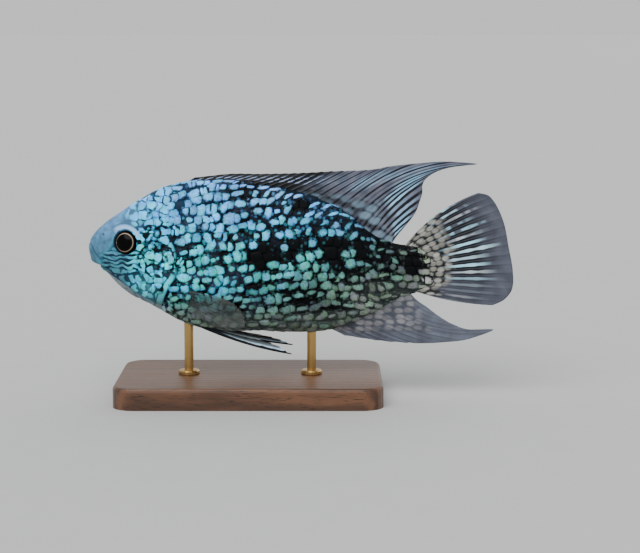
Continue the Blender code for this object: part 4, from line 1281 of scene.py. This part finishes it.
def fin_paint(
    name, rays, web, line, lines, streak, streaks, spots=None, spots_across=0.8, flat_spots=None,
    spines=0, every_other_before=None, faint_past=1.0, dashed_before=None, dark_root=None, alpha=1.0,
):
    """Tinted resin: a clouded web, dark lines along it, pale streaks between them, ovals at its base.

    rays: the number of the first ray, and the one that follows the last ray's.
    web, line, streak: the colours of the web's clouds, of the lines, and two of the streaks.
    lines: how many there are to a ray, their half width, their strength, where along a ray they
        end, and how far off a streak they are.
    streaks: where they begin and end along a ray, their least and greatest strength, their half
        width, and the middle and half width of the strip of rays that has them.
    spots: if there are ovals, their colour, how far they reach along the first and the last ray,
        how many lie along a ray, and their contrast. spots_across is how many lie side by side
        to a ray.
    flat_spots: for level ovals, how far apart they are along and up in millimetres, and a turn.
    spines: about how many rays in front are black with one pale streak each.
    every_other_before: the ray before which every second line is faint.
    faint_past: the strength of the lines on the rays past the strip of streaks.
    dashed_before: the ray before which the streaks are dashes, outside of their strip too.
    dark_root: how far along the rays the dark part of the base reaches, and up to which ray.
    alpha: how much of the web can be seen, 1 for all of it.
    """
    made, tree = new_material(name)
    lines_a_ray, line_half, line_strength, line_end, line_off = lines
    begin, end, least, most, streak_half, middle_ray, strip = streaks
    x, z, place = side_places(tree)
    ray, along = map_values(tree, "Ray")
    ray_line = add(tree, "Math", (ray, lines_a_ray), operation="MULTIPLY")
    number = add(tree, "Math", (ray_line,), operation="ROUND")
    own = add(tree, "TexWhiteNoise", {"W": number}, noise_dimensions="1D")
    chances = add(tree, "SeparateColor", {"Color": own.outputs["Color"]}).outputs
    off = add(tree, "Math", (ray_line, number), operation="SUBTRACT")
    off = add(tree, "Math", (off,), operation="ABSOLUTE")
    clouds = add(tree, "TexNoise", {"Vector": place, "Scale": 0.12, "Detail": 3.0})
    colour = add(tree, "ValToRGB", {"Fac": clouds}, stops=web)

    # Dark lines run beside the streaks or midway between them and fade towards the fin's edge
    on_line = add(tree, "CombineXYZ", (number, along))
    flecks = add(tree, "TexNoise", {"Vector": on_line, "Scale": 6.0, "Detail": 1.0})
    apart = add(tree, "Math", (line_off, off), operation="SUBTRACT")
    apart = add(tree, "Math", (apart,), operation="ABSOLUTE")
    dark = within(tree, (apart, line_half, 0.5 * line_half), most=line_strength)
    from_middle = add(tree, "Math", (ray, middle_ray), operation="SUBTRACT")
    past_strip = {"Value": from_middle, "From Min": 0.9 * strip, "From Max": 1.5 * strip}
    fades = [
        {"Value": along, "From Min": line_end, "From Max": line_end - 0.3, "To Min": 0.15},
        {**past_strip, "To Min": 1.0, "To Max": faint_past},
    ]
    if every_other_before is not None:
        gap = add(tree, "Math", (ray_line,), operation="FLOOR")
        second = add(tree, "Math", (gap, 2.0), operation="MODULO")
        forward = within(tree, (ray, every_other_before + 1.5, every_other_before - 1.5))
        second = add(tree, "Math", (second, forward), operation="MULTIPLY")
        fades.append({"Value": second, "To Min": 1.0, "To Max": 0.15})
    for fade in fades:
        dark = add(tree, "Math", (dark, add(tree, "MapRange", fade)), operation="MULTIPLY")
    colour = painted(tree, colour, (dark, line))

    # Each streak begins and ends at a place of its own, and swells and thins along its ray
    begun = add(tree, "MapRange", {"Value": chances["Red"], "To Min": begin - 0.06, "To Max": begin + 0.1})
    begun = within(tree, (add(tree, "Math", (along, begun), operation="SUBTRACT"), 0.0, 0.1))
    ended = add(tree, "MapRange", {"Value": chances["Green"], "To Min": end - 0.15, "To Max": end + 0.06})
    ended = within(tree, (add(tree, "Math", (ended, along), operation="SUBTRACT"), 0.0, 0.22))
    width = {"Value": flecks, "From Min": 0.3, "From Max": 0.65}
    width = add(tree, "MapRange", {**width, "To Min": 0.35 * streak_half, "To Max": streak_half})
    inner = add(tree, "Math", (width, 0.7), operation="MULTIPLY")
    on_ray = within(tree, (off, width, inner))
    strong = add(tree, "MapRange", {"Value": chances["Blue"], "To Min": least, "To Max": most})
    from_middle = add(tree, "Math", (from_middle,), operation="ABSOLUTE")
    in_strip = {"Value": from_middle, "From Min": 1.4 * strip, "From Max": 0.6 * strip, "To Min": 0.12}
    in_strip = add(tree, "MapRange", in_strip)
    lit = on_ray
    if dashed_before is not None:
        dashes = clouded(tree, on_line, 11.0, 0.0, 0.0, 1.0, 0.42, 0.54)
        dashed = within(tree, (ray, dashed_before + 1.0, dashed_before - 1.0))
        broken = add(tree, "Mix", {"Factor": dashed, "A": 1.0, "B": dashes}, data_type="FLOAT")
        lit = add(tree, "Math", (lit, broken), operation="MULTIPLY")
        dashed = add(tree, "Math", (dashed, 0.7), operation="MULTIPLY")
        in_strip = add(tree, "Math", (in_strip, dashed), operation="MAXIMUM")
    for share in (begun, ended, strong, in_strip):
        lit = add(tree, "Math", (lit, share), operation="MULTIPLY")
    colour = painted(tree, colour, (lit, painted(tree, streak[0], (chances["Red"], streak[1]))))

    # Pale ovals lie in rows along the rays over the scaled base
    if spots:
        spot_colour, first_reach, last_reach, spots_along, contrast = spots
        if flat_spots:
            along_mm, up_mm, turn = flat_spots
            level = {"Vector": add(tree, "CombineXYZ", (x, z)), "Rotation": (0.0, 0.0, turn)}
            spots_at = add(tree, "Mapping", {**level, "Scale": (1 / along_mm, 1 / up_mm, 1.0)})
        else:
            spots_at = add(tree, "CombineXYZ", (ray, along))
            spread = (spots_across, spots_along, 1.0)
            spots_at = add(tree, "VectorMath", (spots_at, spread), operation="MULTIPLY")
        cells = {"Vector": spots_at, "Scale": 1.0, "Randomness": 0.5}
        cells = add(tree, "TexVoronoi", cells, voronoi_dimensions="2D")
        spotted = within(tree, (cells.outputs["Distance"], 0.56, 0.3), most=contrast)
        tone = add(tree, "SeparateColor", {"Color": cells.outputs["Color"]})
        tone = add(tree, "MapRange", {"Value": tone, "To Min": 0.5, "To Max": 1.1})
        spot_paint = add(tree, "VectorMath", (linear(spot_colour)[:3], tone), operation="MULTIPLY")
        base_paint = painted(tree, colour, (contrast, line), (spotted, spot_paint))
        ragged = add(tree, "MapRange", {"Value": chances["Blue"], "To Min": -0.05, "To Max": 0.05})
        reach = {"Value": ray, "From Min": rays[0], "From Max": rays[1]}
        reach = add(tree, "MapRange", {**reach, "To Min": first_reach, "To Max": last_reach})
        reach = add(tree, "Math", (ragged, reach), operation="ADD")
        near = within(tree, (add(tree, "Math", (reach, along), operation="SUBTRACT"), -0.04, 0.06))
        paling = {"Value": along, "From Min": 0.22, "From Max": 0.55, "To Min": 1.0, "To Max": 0.45}
        near = add(tree, "Math", (near, add(tree, "MapRange", paling)), operation="MULTIPLY")
        colour = painted(tree, colour, (near, base_paint))

    if dark_root:
        root_end, last_dark = dark_root
        forward = (ray, last_dark + 4.0, last_dark - 2.0)
        root = within(tree, (along, root_end, 0.12), forward, (flecks, 0.72, 0.5), most=0.8)
        colour = painted(tree, colour, (root, line))

    # The spiny part is black, with one pale streak along each spine
    if spines:
        width = {"Value": flecks, "From Min": 0.35, "From Max": 0.65, "To Min": 0.03, "To Max": 0.3}
        from_spine = add(tree, "Math", (ray, 0.5), operation="PINGPONG")
        on_spine = add(tree, "Math", (add(tree, "MapRange", width), from_spine), operation="SUBTRACT")
        on_spine = within(tree, (on_spine, 0.0, 0.08), (begun, 0.0, 1.0), (along, 0.85, 0.6))
        spiny = painted(tree, SPINE_BLACK, (on_spine, SPINE_STREAK))
        in_front = within(tree, (ray, rays[0] + spines + 1.2, rays[0] + spines - 1.6))
        colour = painted(tree, colour, (in_front, spiny))

    level = add(tree, "CombineXYZ", (along,))
    joints = add(tree, "TexWave", {"Vector": level, "Scale": 12.0, "Distortion": 0.0})
    joints = add(tree, "Math", (joints.outputs["Fac"], on_ray), operation="MULTIPLY")
    bump = add(tree, "Bump", {"Strength": 0.2, "Distance": 0.0002, "Height": joints})
    looks = {"Base Color": colour, "Normal": bump, "Alpha": alpha, **RESIN_GLOSS}
    add(tree, "OutputMaterial", {"Surface": add(tree, "BsdfPrincipled", looks)})
    return made


DORSAL_RESIN = {
    "name": "Tinted resin dorsal web",
    "rays": (0, 28),
    "web": [(0.3, "#4E5568"), (0.7, "#78788A")],
    "line": "#04070C",
    "lines": (2.0, 0.3, 0.97, 1.2, 0.5),
    "streak": ("#90D4FA", "#A8D8FF"),
    "streaks": (0.34, 0.98, 0.3, 1.1, 0.36, 25.0, 5.0),
    "spots": ("#94B4CC", 0.1, 0.26, 8.0, 0.6),
    "spines": 15,
    "flat_spots": (8.4, 5.0, 0.6),
    "every_other_before": 22,
    "dark_root": (0.5, 19.0),
}
TAIL_RESIN = {
    "name": "Tinted resin tail web",
    "rays": (60, 76),
    "web": [(0.3, "#464956"), (0.7, "#5C606E")],
    "line": "#040609",
    "lines": (1.0, 0.17, 0.97, 0.92, 0.35),
    "streak": ("#A8E8FF", "#F4FAFF"),
    "streaks": (0.24, 0.88, 0.4, 1.4, 0.29, 67.2, 3.2),
    "spots": ("#B4B2AA", 0.46, 0.24, 11.0, 0.85),
    "spots_across": 1.0,
    "faint_past": 0.45,
    "dashed_before": 65.0,
}
ANAL_RESIN = {
    "name": "Tinted resin anal web",
    "rays": (40, 55),
    "web": [(0.3, "#4E515C"), (0.7, "#666C7C")],
    "line": "#33363E",
    "lines": (1.0, 0.2, 0.3, 1.1, 0.5),
    "streak": ("#8A99B4", "#A0A8B8"),
    "streaks": (0.5, 0.85, 0.0, 0.3, 0.3, 44.0, 4.0),
    "spots": ("#A6A4A8", 0.6, 0.5, 9.0, 0.52),
    "flat_spots": (5.8, 3.4, 0.0),
}
# The pectoral web is nearly clear, so that the body shows through it, and has no ovals
PECTORAL_RESIN = {
    "name": "Clear tinted resin pectoral web",
    "rays": (80, 92),
    "web": [(0.3, "#3A4242"), (0.7, "#6A706C")],
    "line": "#141E22",
    "lines": (1.0, 0.18, 0.4, 1.1, 0.5),
    "streak": ("#A4C4CC", "#A4C4CC"),
    "streaks": (0.05, 0.7, 0.0, 0.35, 0.2, 86.0, 6.0),
    "alpha": 0.34,
}

# The pelvic fin has a black leading ray and a blue white streak behind it, and its grey web has
# one more black and one more pale streak
PELVIC_STOPS = [
    (0.00, "#06080D"),
    (0.13, "#06080D"),
    (0.17, "#B9D6EC"),
    (0.26, "#9DBCD2"),
    (0.33, "#4A545A"),
    (0.50, "#545E62"),
    (0.56, "#080A10"),
    (0.66, "#0A0D14"),
    (0.74, "#8C9498"),
    (0.86, "#5A6468"),
    (1.00, "#10151C"),
]
PELVIC_ROOT_COLOUR = "#0C1220"
PELVIC_RAYS = (100, 105)
pelvic_resin, tree = new_material("Tinted resin pelvic web")
ray, along = map_values(tree, "Ray")
share = within(tree, (ray, *PELVIC_RAYS))
bent = add(tree, "Math", (along, 9.0), operation="MULTIPLY")
bent = clouded(tree, add(tree, "CombineXYZ", (bent, share)), 1.0, 1.0, -0.08, 0.08, 0.0, 1.0)
share = add(tree, "Math", (share, bent), operation="ADD", use_clamp=True)
web = add(tree, "ValToRGB", {"Fac": share}, stops=PELVIC_STOPS)
web = painted(tree, web, (within(tree, (along, 0.34, 0.2)), PELVIC_ROOT_COLOUR))
looks = {"Base Color": web, **RESIN_GLOSS}
add(tree, "OutputMaterial", {"Surface": add(tree, "BsdfPrincipled", looks)})

dorsal = fin(
    "dorsal_rays", median_place(DORSAL, -SUNK), rays=28, spines=16, rows=30, root_half=MEDIAN_ROOT_HALF,
    notch=(0.03, 0.01), forked=True, material=fin_paint(**DORSAL_RESIN),
)
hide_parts("dorsal_fin")
anal = fin(
    "anal_rays", median_place(ANAL, SUNK), rays=15, spines=5, rows=36, root_half=MEDIAN_ROOT_HALF,
    notch=(0.04, 0.004), forked=True, material=fin_paint(**ANAL_RESIN), offset=40,
)
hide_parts("anal_fin")
tail = fin(
    "tail_rays", caudal_place, rays=16, spines=0, rows=40, root_half=MEDIAN_ROOT_HALF,
    notch=(0.0, 0.0), forked=True, material=fin_paint(**TAIL_RESIN), offset=60, corners=0.07,
)
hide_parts("caudal_fin")
pectoral_resin = fin_paint(**PECTORAL_RESIN)
for side, name in ((-1, "left"), (1, "right")):
    pectoral = fin(
        f"pectoral_rays_{name}", pectoral_place, rays=12, spines=0, rows=24, root_half=PAIRED_ROOT_HALF,
        notch=(0.0, 0.02), forked=True, material=pectoral_resin, side=side, offset=80,
    )
    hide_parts(f"pectoral_fin_{name}")
    pelvic = fin(
        f"pelvic_rays_{name}", pelvic_place, rays=6, spines=1, rows=30, root_half=PAIRED_ROOT_HALF,
        notch=(0.05, 0.05), forked=False, material=pelvic_resin, side=side, offset=PELVIC_RAYS[0],
    )
    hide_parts(f"pelvic_fin_{name}")

# Eyes: glass eyes as a taxidermist sets them, a painted iris under a clear dome. A thin gold
# ring lies between the wide black pupil and the black rim.

IRIS_STOPS = [
    (0.00, "#000000"),
    (0.70, "#010101"),
    (0.735, "#3A2418"),
    (0.775, "#BCAA94"),
    (0.81, "#80705E"),
    (0.84, "#010101"),
    (1.00, "#010101"),
]

eye_glass, tree = new_material("Painted glass eye")
radius, turn = map_values(tree, "Iris")
wobble = clouded(tree, add(tree, "UVMap", uv_map="Iris"), 9.0, 2.0, -0.02, 0.02, 0.0, 1.0)
radius = add(tree, "Math", (radius, wobble), operation="ADD")
iris = add(tree, "ValToRGB", {"Fac": radius}, stops=IRIS_STOPS)
# The ring is brightest at its top and dull in front
in_front = add(tree, "Math", (turn,), operation="ABSOLUTE")
from_top = add(tree, "Math", (turn, 0.5), operation="SUBTRACT")
from_top = add(tree, "Math", (from_top,), operation="ABSOLUTE")
dull = {"Value": in_front, "From Min": 0.55, "From Max": 0.95, "To Min": 1.0, "To Max": 0.3}
bright = {"Value": from_top, "From Min": 0.35, "From Max": 0.1, "To Min": 0.7, "To Max": 1.1}
for shine in (dull, bright):
    iris = add(tree, "VectorMath", (iris, add(tree, "MapRange", shine)), operation="MULTIPLY")
looks = {"Base Color": iris, "Roughness": 0.3, "Specular IOR Level": 0.02, "Coat Weight": 0.12}
looks["Coat Roughness"] = 0.02
add(tree, "OutputMaterial", {"Surface": add(tree, "BsdfPrincipled", looks)})


def facing(place, side, sunk):
    """The frame whose Z looks out of the side at a place given from the snout."""

    def at(x, z):
        return Vector((x, side * side_width(x, z), z))

    x, z = place
    step = 0.4 * MM
    out_way = (at(x + step, z) - at(x - step, z)).cross(at(x, z + step) - at(x, z - step)).normalized()
    if out_way.y * side < 0:
        out_way = -out_way
    turn = out_way.to_track_quat("Z", "Y").to_matrix().to_4x4()
    return Matrix.Translation(at(x, z) - out_way * sunk) @ turn


for side, name in ((-1, "left"), (1, "right")):
    bm = bmesh.new()
    bmesh.ops.create_uvsphere(bm, u_segments=48, v_segments=32, radius=EYE_RADIUS)
    layer = bm.loops.layers.uv.new("Iris")
    for vert in bm.verts:
        if vert.co.z > 0:
            vert.co.z *= EYE_DOME / EYE_RADIUS
    for face in bm.faces:
        for loop in face.loops:
            spot = loop.vert.co
            if spot.z >= 0:
                turn = math.atan2(spot.y, -side * spot.x) / math.pi
                loop[layer].uv = (math.hypot(spot.x, spot.y) / EYE_RADIUS, turn)
            else:
                loop[layer].uv = (1.0, 0.0)
    bm.transform(Matrix.Translation(SNOUT) @ facing(EYE_PLACE, side, EYE_SUNK))
    eye = new_object(f"glass_eye_{name}", bm)
    eye.data.shade_smooth()
    eye.data.materials.append(eye_glass)
    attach(eye, "root")
    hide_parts(f"eye_{name}")

# Studio: a pale floor under a pale sky, one wide soft sun before and above the fish, and a
# weaker one behind it.

FLOOR_COLOUR = "#B7B9B8"
FLOOR_RADIUS = 60.0
SKY_COLOUR = "#E0E2E1"
SKY_STRENGTH = 1.0
SUNS = [
    # where it shines from, how wide it is, strength
    (Vector((-0.35, -0.85, 1.15)), math.radians(50), 2.6),
    (Vector((0.5, 0.9, 0.8)), math.radians(60), 0.7),
]

paper, tree = new_material("Pale matt paper")
place = add(tree, "TexCoord").outputs["Object"]
tone = clouded(tree, place, 40.0, 4.0, 0.97, 1.03, 0.0, 1.0)
tone = add(tree, "VectorMath", {0: linear(FLOOR_COLOUR)[:3], 1: tone}, operation="MULTIPLY")
looks = {"Base Color": tone, "Roughness": 0.9}
add(tree, "OutputMaterial", {"Surface": add(tree, "BsdfPrincipled", looks)})
bm = bmesh.new()
bmesh.ops.create_circle(bm, cap_ends=True, segments=96, radius=FLOOR_RADIUS)
floor = new_object("floor", bm)
floor.data.materials.append(paper)

world = bpy.data.worlds.new("Studio")
world.use_nodes = True
world.node_tree.nodes["Background"].inputs["Color"].default_value = linear(SKY_COLOUR)
world.node_tree.nodes["Background"].inputs["Strength"].default_value = SKY_STRENGTH
bpy.context.scene.world = world

for number, (way, width, strength) in enumerate(SUNS):
    lamp = bpy.data.lights.new(f"soft sun {number}", "SUN")
    lamp.angle = width
    lamp.energy = strength
    holder = bpy.data.objects.new(f"soft sun {number}", lamp)
    holder.rotation_euler = (-way).to_track_quat("-Z", "Y").to_euler()
    bpy.context.scene.collection.objects.link(holder)

# Camera: level with the fish and a little above it, square to its left side, as far off as the
# photograph's framing needs.

PIXEL = 0.56738 * MM
IMAGE_WIDTH = 640
SNOUT_PIXEL = Vector((89.5, 247.0))
MIDDLE_PIXEL = Vector((320.0, 276.5))
CAMERA_RISE = math.radians(8.0)
CAMERA_DISTANCE = 1.0
SENSOR_MM = 36.0

aim = SNOUT + Vector((PIXEL * (MIDDLE_PIXEL.x - SNOUT_PIXEL.x), 0, 0))
aim.z += PIXEL * (SNOUT_PIXEL.y - MIDDLE_PIXEL.y) / math.cos(CAMERA_RISE)
camera = bpy.data.objects.new("camera", bpy.data.cameras.new("camera"))
camera.location = aim + CAMERA_DISTANCE * Vector((0, -math.cos(CAMERA_RISE), math.sin(CAMERA_RISE)))
camera.rotation_euler = (math.pi / 2 - CAMERA_RISE, 0, 0)
camera.data.sensor_width = SENSOR_MM
camera.data.lens = SENSOR_MM * CAMERA_DISTANCE / (IMAGE_WIDTH * PIXEL)
camera.data.clip_start = 0.01
bpy.context.scene.collection.objects.link(camera)
bpy.context.scene.camera = camera
